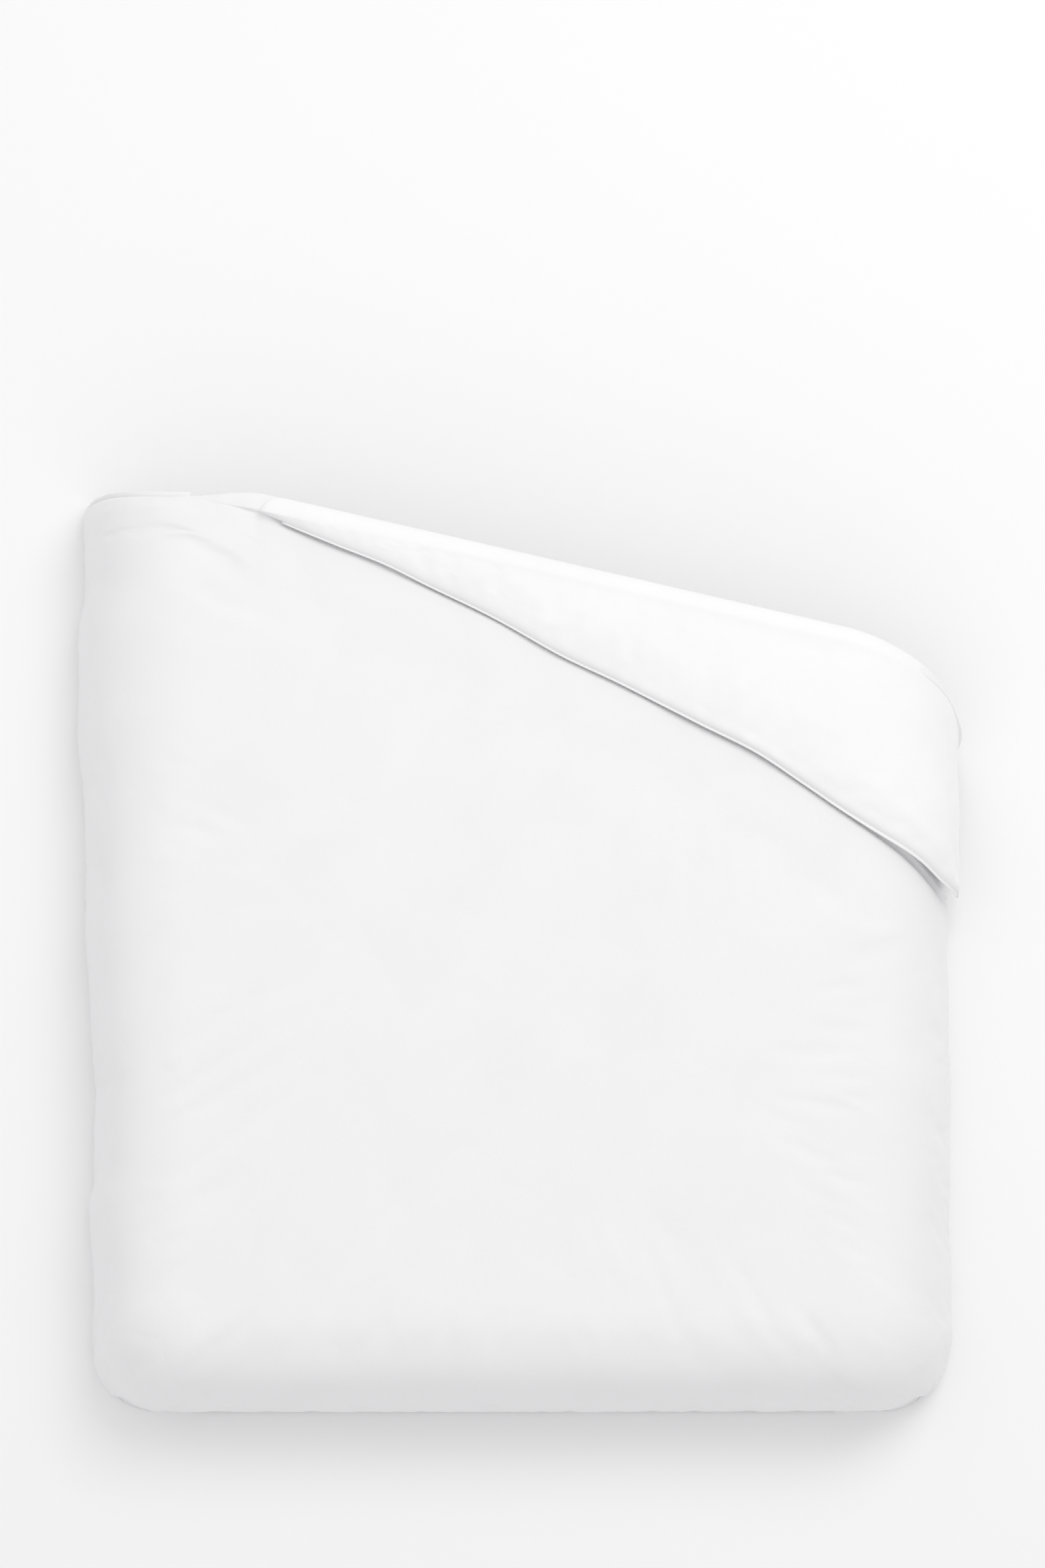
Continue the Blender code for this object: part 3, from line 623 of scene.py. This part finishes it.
def body_rings():
    """One ring of points for each column across the bed: face, end, and underside back to the foot."""
    p = sizes()
    half, mid = p.width / 2, p.loft / 2
    open_rows = int(round(0.78 * p.length / p.grid))
    turns = np.linspace(math.pi, 0, 15)
    rings, uvs, holds = [], [], []
    for u in spread(-half, half, p.grid, p.edge_round):
        end = min(p.length, float(crease_v(u)))
        fold = float(smooth((u + p.crease_start + 0.02) / 0.17))
        hem_line = p.length + float(through(HEM_POINTS, u))
        guide = min(hem_line, end - 0.064)
        plain_rows = np.linspace(p.hem + p.edge_round, guide + HEM_ROWS[0], open_rows + 1)[:-1]
        last_rows = np.linspace(guide + HEM_ROWS[-1], end, 16)[1:]
        v = np.concatenate([p.hem + p.edge_round * ROUNDING, plain_rows, guide + HEM_ROWS, last_rows])
        # The face and the underside.
        side = half - abs(u)
        free = np.minimum(np.minimum(side, v - p.hem), (end - v) + fold * p.edge_round)
        half_loft = mid * rise(free, p.edge_round)
        along = np.where(side < np.minimum(v - p.hem, end - v), v, u)
        swell = 0.0040 * waves(u, v) * smooth(free / 0.14)
        gather = 0.0009 * puckers(along, free, 0.034, 0.040, 1.3)
        pressed = -GROOVE_DEPTH * hump(v, hem_line, GROOVE_WIDTH) * smooth((u + 0.46) / 0.05)
        puff = fold_puff(u, end - v)
        top = mid + half_loft + swell + gather + pressed + puff
        under = mid - half_loft + puff
        # The end: a plain edge on the left, growing into the roll of the crease.
        lofted = float(rise(np.float64(side), p.edge_round))
        end_round = float(rise(np.float64(side), ROLL_END_ROUND))
        roof = (float(crown(u, 0.9 * flap_width(u))) - ROLL_TUCK - p.loft) * end_round
        height = np.where(turns > math.pi / 2, roof, mid + mid * lofted)
        around = p.loft - np.cos(turns) * height
        n_end = mid + (around - mid) * fold + fold_puff(u, 0.0)
        d_end = np.sin(turns) * ((mid + mid * end_round) * end_round * fold)
        slope = math.atan(p.crease_slope if u < p.flat_half else p.crease_side) * fold
        u_end = u + d_end * math.sin(slope)
        v_end = end + d_end * math.cos(slope)
        back = v[::-1][1:-1]
        u_ring = np.concatenate([np.full(len(v), u), u_end, np.full(len(back), u)])
        v_ring = np.concatenate([v, v_end, back])
        n_ring = np.concatenate([top, n_end, under[::-1][1:-1]])
        rings.append(drape(u_ring, v_ring, n_ring))
        uvs.append(np.stack([u_ring, travelled(v_ring, n_ring)], axis=-1))
        # Cloth under the corner and along the edges is held, and the rest of the face can swell.
        tucked = 1 - smooth((hem_line - v - 0.01) / 0.24) * (u > -0.47) - (u <= -0.47)
        tight = 1 - smooth((free - 0.004) / 0.02)
        hold = np.ones(len(u_ring))
        hold[: len(v)] = np.maximum(np.clip(tucked, 0, 1), tight)
        holds.append(hold)
    return rings, uvs, holds


def corner_tip():
    """The tip of the turned-back corner, on the flat duvet."""
    return np.array([HEM_POINTS[-1][0], sizes().length + HEM_POINTS[-1][1]])


def corner_rings():
    """One ring for each line from the crease to the turned-back hem: lap round the roll, top, underside."""
    p = sizes()
    start, stop = CORNER_START, p.width / 2 - CORNER_INSET
    tip = corner_tip()
    near_hem = 1 - 0.22 * np.array([0.82, 0.66, 0.5, 0.36, 0.24, 0.14, 0.06, 0.0])
    t = np.concatenate([np.linspace(0, 0.78, 16), near_hem])
    wrap = np.radians([82, 74, 64, 52, 40, 28, 16, 7])
    lap = p.loft + 0.0011 - 0.0017 * (wrap > np.radians(76))
    # Small folds by the tip: start, end, width and depth.
    folds = (
        (tip + (-0.050, 0.075), tip + (-0.022, 0.036), 0.008, 0.0075),
        ((0.800, 1.470), (0.812, 1.395), 0.009, 0.0060),
        ((0.850, 1.430), (0.846, 1.340), 0.010, 0.0050),
    )
    rings, uvs, holds = [], [], []
    for a in spread(0, 1, 0.0085, 0.03):
        u0 = start + (stop - start) * a
        u1 = start + 0.012 + (tip[0] - start - 0.012) * a
        crease = np.array([u0, float(crease_v(u0))])
        hem = np.array([u1, p.length + float(through(HEM_POINTS, u1))])
        line = crease[None] + (hem - crease)[None] * t[:, None]
        u, v = line[:, 0], line[:, 1]
        from_hem = (1 - t) * float(np.linalg.norm(hem - crease))
        side, to_tip = (1 - a) * 0.35, a * 1.4
        free = np.minimum(np.minimum(from_hem, side), to_tip)
        swell = 0.0022 * waves(u, v, 2.0) * smooth(free / 0.08)
        furrow = -0.0016 * hump(from_hem, 0.024, 0.012) * smooth((a - 0.35) / 0.2)
        furrow = furrow - 0.0030 * hump(from_hem, 0.026, 0.009) * hump(u1, 0.47, 0.07)
        gather = 0.0010 * puckers(np.full(len(t), u1), from_hem, 0.041, 0.05, 0.4)
        for begin, last, wide, deep in folds:
            gather = gather + groove(u, v, begin, last, wide, deep)
        puff = fold_puff(u, 0.0, 0.005 * smooth(t) + 0.010 * smooth((t - 0.5) * 2) * smooth((u - 0.76) / 0.1))
        top = crown(u1, free) + swell + furrow + gather
        loft_here = p.loft * rise(free, CORNER_ROUND * p.edge_round)
        under = np.maximum(top - loft_here - 0.002, p.loft + LAP)
        top, under = top + puff, under + puff
        slope = math.atan(p.crease_slope if u0 < p.flat_half else p.crease_side)
        d = lap * np.sin(wrap) * float(rise(np.float64(min(side, to_tip)), CORNER_ROUND * p.edge_round))
        u_ring = np.concatenate([u0 + d * math.sin(slope), u, u[::-1][1:]])
        v_ring = np.concatenate([crease[1] + d * math.cos(slope), v, v[::-1][1:]])
        n_wrap = puff[0] + p.loft + (top[0] - puff[0] - p.loft) * lap / p.loft * np.cos(wrap)
        n_ring = np.concatenate([n_wrap, top, under[::-1][1:]])
        rings.append(drape(u_ring, v_ring, n_ring))
        uvs.append(np.stack([np.full(len(u_ring), u0), travelled(v_ring, n_ring)], axis=-1))
        hold = np.ones(len(u_ring))
        near_seam = 1 - smooth((free - 0.006) / 0.02)
        hold[len(wrap) : len(wrap) + len(t)] = np.maximum(1 - smooth(t / 0.1), near_seam)
        holds.append(hold)
    return rings, uvs, holds


def edging(name, path, out, section):
    """A sewn edge swept along points of the flat duvet. section holds (out, up) pairs in order around."""
    path = np.asarray(path, float)
    out = np.broadcast_to(np.asarray(out, float), (len(path), 2))
    section = np.asarray(section, float)
    rings, uvs = [], []
    travel = 0.0
    for k, (here, way) in enumerate(zip(path, out)):
        if k:
            travel += float(np.linalg.norm(here[:2] - path[k - 1][:2]))
        u = here[0] + way[0] * section[:, 0]
        v = here[1] + way[1] * section[:, 0]
        rings.append(drape(u, v, here[2] + section[:, 1]))
        uvs.append(np.stack([np.full(len(section), travel), travelled(*section.T)], axis=-1))
    piece = rings_mesh(name, rings, uvs)
    return clean(piece, 1e-6)


def lip(depth, bite, thick):
    """The cross-section of a seam: flat, with a rounded outer edge."""
    r = thick / 2
    turns = np.linspace(-math.pi / 2, math.pi / 2, 7)
    nose = [(depth - r + r * math.cos(a), r * math.sin(a)) for a in turns]
    return [(-bite, -r)] + nose + [(-bite, r)]


# ---------------------------------------------------------------- the operators


def broad_part(piece, values, rounds=60):
    """The slow part of values on a mesh, by averaging over neighbours again and again."""
    pairs = np.empty(len(piece.data.edges) * 2, dtype=np.int64)
    piece.data.edges.foreach_get("vertices", pairs)
    a, b = pairs[::2], pairs[1::2]
    size = len(values)
    count = np.bincount(a, minlength=size) + np.bincount(b, minlength=size)
    for _ in range(rounds):
        total = np.bincount(a, values[b], size) + np.bincount(b, values[a], size)
        values = 0.5 * values + 0.5 * total / np.maximum(count, 1)
    return values


SWELL_PRESSURE = 3.0
SWELL_FRAMES = 20
CLOTH_SETTINGS = {
    "quality": 4,
    "mass": 0.25,
    "tension_stiffness": 12,
    "compression_stiffness": 12,
    "shear_stiffness": 4,
    "bending_stiffness": 0.35,
    "air_damping": 4,
    "use_pressure": True,
    "uniform_pressure_force": SWELL_PRESSURE,
    "shrink_min": -0.012,
    "shrink_max": -0.012,
    "vertex_group_mass": "held",
    "pin_stiffness": 1.0,
}


def swell_cloth(piece, cap):
    """Let the cover fill out as cloth under pressure, and keep its fine wrinkles, no deeper than the cap."""
    scene = bpy.context.scene
    before = np.empty(len(piece.data.vertices) * 3)
    piece.data.vertices.foreach_get("co", before)
    before = before.reshape(-1, 3)
    weights = np.empty(len(before))
    piece.data.attributes["hold"].data.foreach_get("value", weights)
    held = piece.vertex_groups.new(name="held")
    for i, w in enumerate(weights):
        if w > 0:
            held.add([i], float(w), "REPLACE")
    cloth = piece.modifiers.new("cloth", "CLOTH")
    for name, value in CLOTH_SETTINGS.items():
        setattr(cloth.settings, name, value)
    cloth.settings.effector_weights.gravity = 0.0
    cloth.collision_settings.use_collision = False
    cloth.collision_settings.use_self_collision = False
    cloth.point_cache.frame_start = 1
    cloth.point_cache.frame_end = SWELL_FRAMES
    for f in range(1, SWELL_FRAMES + 1):
        scene.frame_set(f)
    moved = piece.evaluated_get(bpy.context.evaluated_depsgraph_get())
    after = np.empty(before.size)
    moved.to_mesh().vertices.foreach_get("co", after)
    moved.to_mesh_clear()
    normal = np.empty(before.size)
    piece.data.vertices.foreach_get("normal", normal)
    normal = normal.reshape(-1, 3)
    out = np.sum((after.reshape(-1, 3) - before) * normal, axis=1)
    broad = broad_part(piece, out)
    kept = cap * np.tanh((out - broad) / cap) + 0.2 * cap * np.tanh(broad / (4 * cap))
    move = normal * (kept * (1 - weights))[:, None]
    piece.modifiers.remove(cloth)
    piece.vertex_groups.clear()
    piece.data.vertices.foreach_set("co", (before + move).ravel())
    piece.data.update()
    scene.frame_set(1)


def finer(piece):
    """One level of subdivision over the cloth's mesh."""
    smoother = piece.modifiers.new("finer", "SUBSURF")
    smoother.levels = 1
    smoother.render_levels = 1


class DuvetOperator(bpy.types.Operator):
    """Builds one group of pieces."""

    bl_options = {"REGISTER", "UNDO"}


class OBJECT_OT_duvet_body(DuvetOperator):
    """Build the filled duvet in its cover, up to and round the crease"""

    bl_idname = "duvet.body"
    bl_label = "Duvet body"

    def execute(self, context):
        piece = clean(rings_mesh("duvet_body", *body_rings()))
        swell_cloth(piece, 0.0032)
        finer(piece)
        dress(piece, "cotton", "duvet")
        inside = [n for n in NODES if n.startswith(("cover_", "quilt_", "fill_", "crease_"))]
        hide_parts(*inside)
        return {"FINISHED"}


class OBJECT_OT_duvet_corner(DuvetOperator):
    """Build the turned-back corner, which lies on the duvet and hangs over its side"""

    bl_idname = "duvet.corner"
    bl_label = "Turned-back corner"

    def execute(self, context):
        piece = clean(rings_mesh("turned_back_corner", *corner_rings()))
        swell_cloth(piece, 0.003)
        finer(piece)
        # The corner takes the lighter reverse cotton: painted light on its upper face.
        dress(piece, "reverse", None)
        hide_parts(*[n for n in NODES if n.startswith(("turnback_", "corner_")) and "seam" not in n])
        bend_across(piece)
        return {"FINISHED"}


def bend_across(piece):
    """Bakes the piece's placement into its mesh."""
    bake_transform(piece)


# Cross-sections of the seams: bite into the pad and thickness, with the depth first for the corner.
SIDE_SEAM = (0.006, 0.0026)
CORNER_SEAM = (0.0045, 0.006, 0.0022)


class OBJECT_OT_duvet_seams(DuvetOperator):
    """Build the sewn edges of the cover"""

    bl_idname = "duvet.seams"
    bl_label = "Seams"

    def execute(self, context):
        p = sizes()
        half, mid = p.width / 2, p.loft / 2
        section = lip(p.seam, *SIDE_SEAM)
        v = np.arange(p.hem + 0.004, p.length + p.seam, 0.012)
        wave = 0.0012 * np.sin(v * 41) + 0.0008 * np.sin(v * 97 + 1)
        left = np.stack([np.full(len(v), -half), v, mid + wave], axis=-1)
        seam = edging("left_seam", left, (-1, 0), section)
        dress(seam, "edge", "duvet")
        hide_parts("left_side_seam")
        stop = float(crease_v(half)) - 0.002
        keep = v < stop
        right = np.stack([np.full(keep.sum(), half), v[keep], mid + wave[keep]], axis=-1)
        seam = edging("right_seam", right, (1, 0), section)
        dress(seam, "edge", "duvet")
        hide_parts("right_side_seam")
        u = np.arange(-half + 0.004, -p.crease_start + 0.02, 0.010)
        head = np.stack([u, np.full(len(u), p.length), mid + 0.001 * np.sin(u * 60)], axis=-1)
        seam = edging("head_seam", head, (0, 1), section)
        dress(seam, "edge", "duvet")
        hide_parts("head_seam")
        return {"FINISHED"}


class OBJECT_OT_duvet_corner_seams(DuvetOperator):
    """Build the sewn edges of the turned-back corner"""

    bl_idname = "duvet.corner_seams"
    bl_label = "Corner seams"

    def execute(self, context):
        p = sizes()
        section = lip(*CORNER_SEAM)
        u = np.arange(-0.43, HEM_POINTS[-1][0] + 0.001, 0.010)
        v = p.length + through(HEM_POINTS, u)
        slope = np.gradient(v, u)
        out = np.stack([slope, -np.ones(len(u))], axis=-1)
        out /= np.linalg.norm(out, axis=1, keepdims=True)
        lift = edge_level(u) + fold_puff(u, 0.0, 0.005 + 0.010 * smooth((u - 0.76) / 0.1))
        seam = edging("corner_head_seam", np.stack([u, v, lift], axis=-1), out, section)
        dress(seam, "edge", None)
        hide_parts("turnback_head_seam", "corner_head_seam")
        bend_across(seam)
        tip, side = corner_tip(), p.width / 2 - CORNER_INSET
        top = np.array([side, float(crease_v(side))])
        t = np.linspace(0, 0.97, 26)
        line = tip[None] + (top - tip)[None] * t[:, None]
        way = np.array([(top - tip)[1], -(top - tip)[0]]) / np.linalg.norm(top - tip)
        height = edge_level(tip[0]) + (p.loft * 1.5 - edge_level(tip[0])) * smooth(t * 3)
        extra = 0.005 * smooth(1 - t) + 0.010 * smooth(1 - t * 2)
        path = np.column_stack([line, height + fold_puff(line[:, 0], 0.0, extra)])
        seam = edging("corner_side_seam", path, way, section)
        dress(seam, "edge", "duvet")
        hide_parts("corner_side_seam")
        return {"FINISHED"}


def hem_strip(name, u0, u1, v0, v1, n0, n1, body, replaced):
    """A folded foot hem: a flat band with rounded edges, very slightly uneven."""
    depth, thick = v1 - v0, n1 - n0
    r = thick / 2
    nose = [(r - r * math.sin(a), -r * math.cos(a)) for a in np.linspace(0, math.pi, 7)]
    section = [(depth, -r)] + nose + [(depth, r)]
    u = np.arange(u0, u1 + 1e-9, (u1 - u0) / max(int((u1 - u0) / 0.012), 2))
    path = np.stack([u, np.full(len(u), v0), (n0 + n1) / 2 + 0.0002 * np.sin(u * 31)], axis=-1)
    piece = edging(name, path, (0, 1), section)
    dress(piece, "edge", body)
    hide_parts(replaced)


def stitches(name, u0, u1, v, n, body):
    """A row of machine stitches along the foot, each a short raised thread."""
    pitch, length, radius, sides = 0.0042, 0.0030, 0.00035, 6
    # Place along the stitch, and share of the radius there.
    taper = ((-0.5, 0.35), (-0.25, 1.0), (0.25, 1.0), (0.5, 0.35))
    points, faces, uv = [], [], []
    for k in range(int((u1 - u0) / pitch)):
        mid_u = u0 + (k + 0.5) * pitch
        base = len(points)
        for a, r in taper:
            for i in range(sides):
                turn = i * 2 * math.pi / sides
                u = mid_u + a * length
                dv = radius * r * math.cos(turn)
                dn = radius * r * math.sin(turn)
                points.append(drape(u, v + dv, n + dn))
                uv.append((u, dv))
        for ring in range(len(taper) - 1):
            q = base + ring * sides
            for i in range(sides):
                j = (i + 1) % sides
                faces.append([q + i, q + j, q + sides + j, q + sides + i])
        last = base + (len(taper) - 1) * sides
        faces.append([base + i for i in reversed(range(sides))])
        faces.append([last + i for i in range(sides)])
    piece = new_mesh(name, points, faces, uv)
    bm = bmesh.new()
    bm.from_mesh(piece.data)
    bmesh.ops.recalc_face_normals(bm, faces=bm.faces[:])
    bm.to_mesh(piece.data)
    bm.free()
    piece.data.shade_smooth()
    dress(piece, "thread", body)


class OBJECT_OT_duvet_foot(DuvetOperator):
    """Build the hems and the stitching of the foot opening"""

    bl_idname = "duvet.foot"
    bl_label = "Foot hems"

    def execute(self, context):
        p = sizes()
        mid, half = p.loft / 2, p.width / 2 + p.seam
        open_half = p.opening / 2
        gap, sheet, layer = 0.0003, 0.001, 0.0025  # gap at an end, inner and outer level of a hem
        sewn, back = p.hem + 0.003, 0.004
        ends = -open_half, open_half
        hem_strip("foot_hem_left", -half, -open_half - gap, 0, sewn, mid - sheet, mid + sheet,
                  "duvet", "foot_hem_left")
        hem_strip("foot_hem_right", open_half + gap, half, 0, sewn, mid - sheet, mid + sheet,
                  "duvet", "foot_hem_right")
        hem_strip("opening_under_hem", *ends, 0, p.hem - gap, mid - layer, mid - sheet,
                  "duvet", "opening_under_hem")
        hem_strip("opening_face_hem", *ends, 0.003, p.hem - 0.0015, mid + sheet, mid + layer,
                  "closure", "opening_face_hem")
        row = p.hem - 0.0045
        stitches("face_hem_stitches", -open_half + back, open_half - back, row, mid + layer, "closure")
        stitches("under_hem_stitches", -open_half + back, open_half - back, row, mid - layer, "duvet")
        corner = half - 0.02
        stitches("foot_hem_left_stitches", -corner, -open_half - back, row, mid + sheet, "duvet")
        stitches("foot_hem_right_stitches", open_half + back, corner, row, mid + sheet, "duvet")
        return {"FINISHED"}


def lathe(name, rings, frame_matrix, sides=40):
    """A turned piece from (radius, height) pairs, running round its section once."""
    points, uv = [], []
    for radius, height in rings:
        for i in range(sides):
            a = 2 * math.pi * i / sides
            points.append(frame_matrix @ Vector((radius * math.cos(a), radius * math.sin(a), height)))
            uv.append((a * 0.002, height))
    faces = []
    count = len(rings)
    for k in range(count):
        low, high = k * sides, (k + 1) % count * sides
        for i in range(sides):
            j = (i + 1) % sides
            faces.append([low + i, low + j, high + j, high + i])
    piece = new_mesh(name, points, faces, uv)
    return clean(piece, 1e-6)


def hem_frame(u, v, n):
    """A frame on the foot hem: x across the bed, z out of the cloth."""
    here = Vector(drape(u, v, n))
    out = (Vector(drape(u, v, n + 0.01)) - here).normalized()
    across = Vector((1, 0, 0))
    up = out.cross(across)
    rows = [(across[i], up[i], out[i], here[i]) for i in range(3)]
    return Matrix(rows + [(0, 0, 0, 1)])


# Sections of the press studs, as (radius, height) once around, in metres.
STUD_SECTION = (
    (0, -0.00065), (0.0057, -0.00065), (0.0060, -0.0004), (0.0060, -0.0001), (0.0056, 0.00005),
    (0.0030, 0.00005), (0.0018, 0.00015), (0.00145, 0.0004), (0.0016, 0.0006), (0.0010, 0.0008), (0, 0.00085),
)
SOCKET_SECTION = (
    (0.0020, -0.0002), (0.0034, -0.00035), (0.0057, -0.00035), (0.0060, -0.0002), (0.0060, 0.00025),
    (0.0056, 0.00035), (0.0034, 0.00035), (0.0024, 0.0003), (0.0020, 0.00015),
)


class OBJECT_OT_duvet_studs(DuvetOperator):
    """Build the press studs of the foot opening"""

    bl_idname = "duvet.studs"
    bl_label = "Press studs"

    def execute(self, context):
        p = sizes()
        for start, section, lift, body in (
            ("press_stud_", STUD_SECTION, 0.0, "duvet"),
            ("press_socket_", SOCKET_SECTION, 0.00035, "closure"),
        ):
            for node in sorted(n for n in NODES if n.startswith(start)):
                low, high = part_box(node)
                here = hem_frame((low[0] + high[0]) / 2 - CENTRE_X, p.hem / 2, p.loft / 2 + lift)
                piece = lathe(node + "_finish", section, here)
                dress(piece, "stud", body)
                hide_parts(node)
        return {"FINISHED"}


class OBJECT_OT_duvet_label(DuvetOperator):
    """Build the blank care label in the opening"""

    bl_idname = "duvet.label"
    bl_label = "Care label"

    def execute(self, context):
        p = sizes()
        mid = p.loft / 2
        wide, deep, r, inset = 0.030, 0.030, 0.0003, 0.030
        end = -p.opening / 2 + inset
        u = np.linspace(end, end + wide, 9)
        path = np.stack([u, np.full(9, p.hem - 0.0315), np.full(9, mid - r)], axis=-1)
        nose = [(r - r * math.sin(a), -r * math.cos(a)) for a in np.linspace(0, math.pi, 5)]
        section = [(deep, -r)] + nose + [(deep, r)]
        piece = edging("care_label_finish", path, (0, 1), section)
        dress(piece, "label", "duvet")
        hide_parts("care_label")
        return {"FINISHED"}


FLOOR_REACH = 14.0
FLOOR_GAP = 0.001
SKY = (0.985, 0.983, 0.995, 1)
SKY_STRENGTH = 0.775
LAMP_COLOUR = (1.0, 0.995, 0.985)
LAMP_TARGET = Vector((0, 0.1, 0.1))
LAMPS = (("key_light", (2.1, 3.0, 6.2), 3.6, 140.0), ("fill_light", (-3.0, 1.0, 6.0), 5.0, 25.0))
CAMERA_LENS = 180.0
CAMERA_HEIGHT = math.radians(82)  # above the horizon
CAMERA_AWAY = 14.57
CAMERA_TARGET_Y = 0.3014


class SCENE_OT_duvet_stage(DuvetOperator):
    """Lay the floor, set the lights and place the camera"""

    bl_idname = "duvet.stage"
    bl_label = "Stage"

    def execute(self, context):
        scene = context.scene
        mesh = bpy.data.meshes.new("floor")
        corners = [(x * FLOOR_REACH, y * FLOOR_REACH, 0) for x, y in ((-1, -1), (1, -1), (1, 1), (-1, 1))]
        mesh.from_pydata(corners, [], [(0, 1, 2, 3)])
        floor = bpy.data.objects.new("floor", mesh)
        floor.location.z = cad_box[0][2] - FLOOR_GAP
        scene.collection.objects.link(floor)
        mesh.materials.append(material("floor"))
        world = bpy.data.worlds.new("studio")
        world.use_nodes = True
        background = world.node_tree.nodes["Background"]
        background.inputs["Color"].default_value = SKY
        background.inputs["Strength"].default_value = SKY_STRENGTH
        scene.world = world
        for name, place, size, power in LAMPS:
            lamp = bpy.data.lights.new(name, "AREA")
            lamp.shape = "SQUARE"
            lamp.size = size
            lamp.energy = power
            lamp.color = LAMP_COLOUR
            holder = bpy.data.objects.new(name, lamp)
            holder.location = place
            holder.rotation_euler = (LAMP_TARGET - Vector(place)).to_track_quat("-Z", "Y").to_euler()
            scene.collection.objects.link(holder)
        camera = bpy.data.cameras.new("camera")
        camera.sensor_width = 36.0
        camera.lens = CAMERA_LENS
        camera.clip_end = 100
        holder = bpy.data.objects.new("camera", camera)
        target = Vector((0.0, CAMERA_TARGET_Y, BED_TOP + sizes().loft / 2))
        away = Vector((0, -math.cos(CAMERA_HEIGHT), math.sin(CAMERA_HEIGHT))) * CAMERA_AWAY
        holder.location = target + away
        holder.rotation_euler = (math.pi / 2 - CAMERA_HEIGHT, 0, 0)
        scene.collection.objects.link(holder)
        scene.camera = holder
        scene.view_settings.view_transform = "Standard"
        scene.view_settings.look = "None"
        return {"FINISHED"}


STEPS = (
    OBJECT_OT_duvet_body,
    OBJECT_OT_duvet_corner,
    OBJECT_OT_duvet_seams,
    OBJECT_OT_duvet_corner_seams,
    OBJECT_OT_duvet_foot,
    OBJECT_OT_duvet_studs,
    OBJECT_OT_duvet_label,
    SCENE_OT_duvet_stage,
)


class VIEW3D_PT_duvet(bpy.types.Panel):
    """Lists the steps and the sizes."""

    bl_label = "Duvet"
    bl_idname = "VIEW3D_PT_duvet"
    bl_space_type = "VIEW_3D"
    bl_region_type = "UI"
    bl_category = "Duvet"

    def draw(self, context):
        for step in STEPS:
            self.layout.operator(step.bl_idname, text=step.bl_label)
        for owner in (context.scene.duvet_sizes, context.scene.duvet_finish):
            for name in owner.bl_rna.properties.keys():
                if name not in ("rna_type", "name"):
                    self.layout.prop(owner, name)


CLASSES = (DuvetSizes, DuvetFinish) + STEPS + (VIEW3D_PT_duvet,)


def register():
    for kind in CLASSES:
        bpy.utils.register_class(kind)
    bpy.types.Scene.duvet_sizes = bpy.props.PointerProperty(type=DuvetSizes)
    bpy.types.Scene.duvet_finish = bpy.props.PointerProperty(type=DuvetFinish)


def unregister():
    del bpy.types.Scene.duvet_finish
    del bpy.types.Scene.duvet_sizes
    for kind in reversed(CLASSES):
        bpy.utils.unregister_class(kind)


def main():
    register()
    for step in STEPS:
        space, name = step.bl_idname.split(".")
        getattr(getattr(bpy.ops, space), name)()


if __name__ == "__main__":
    main()
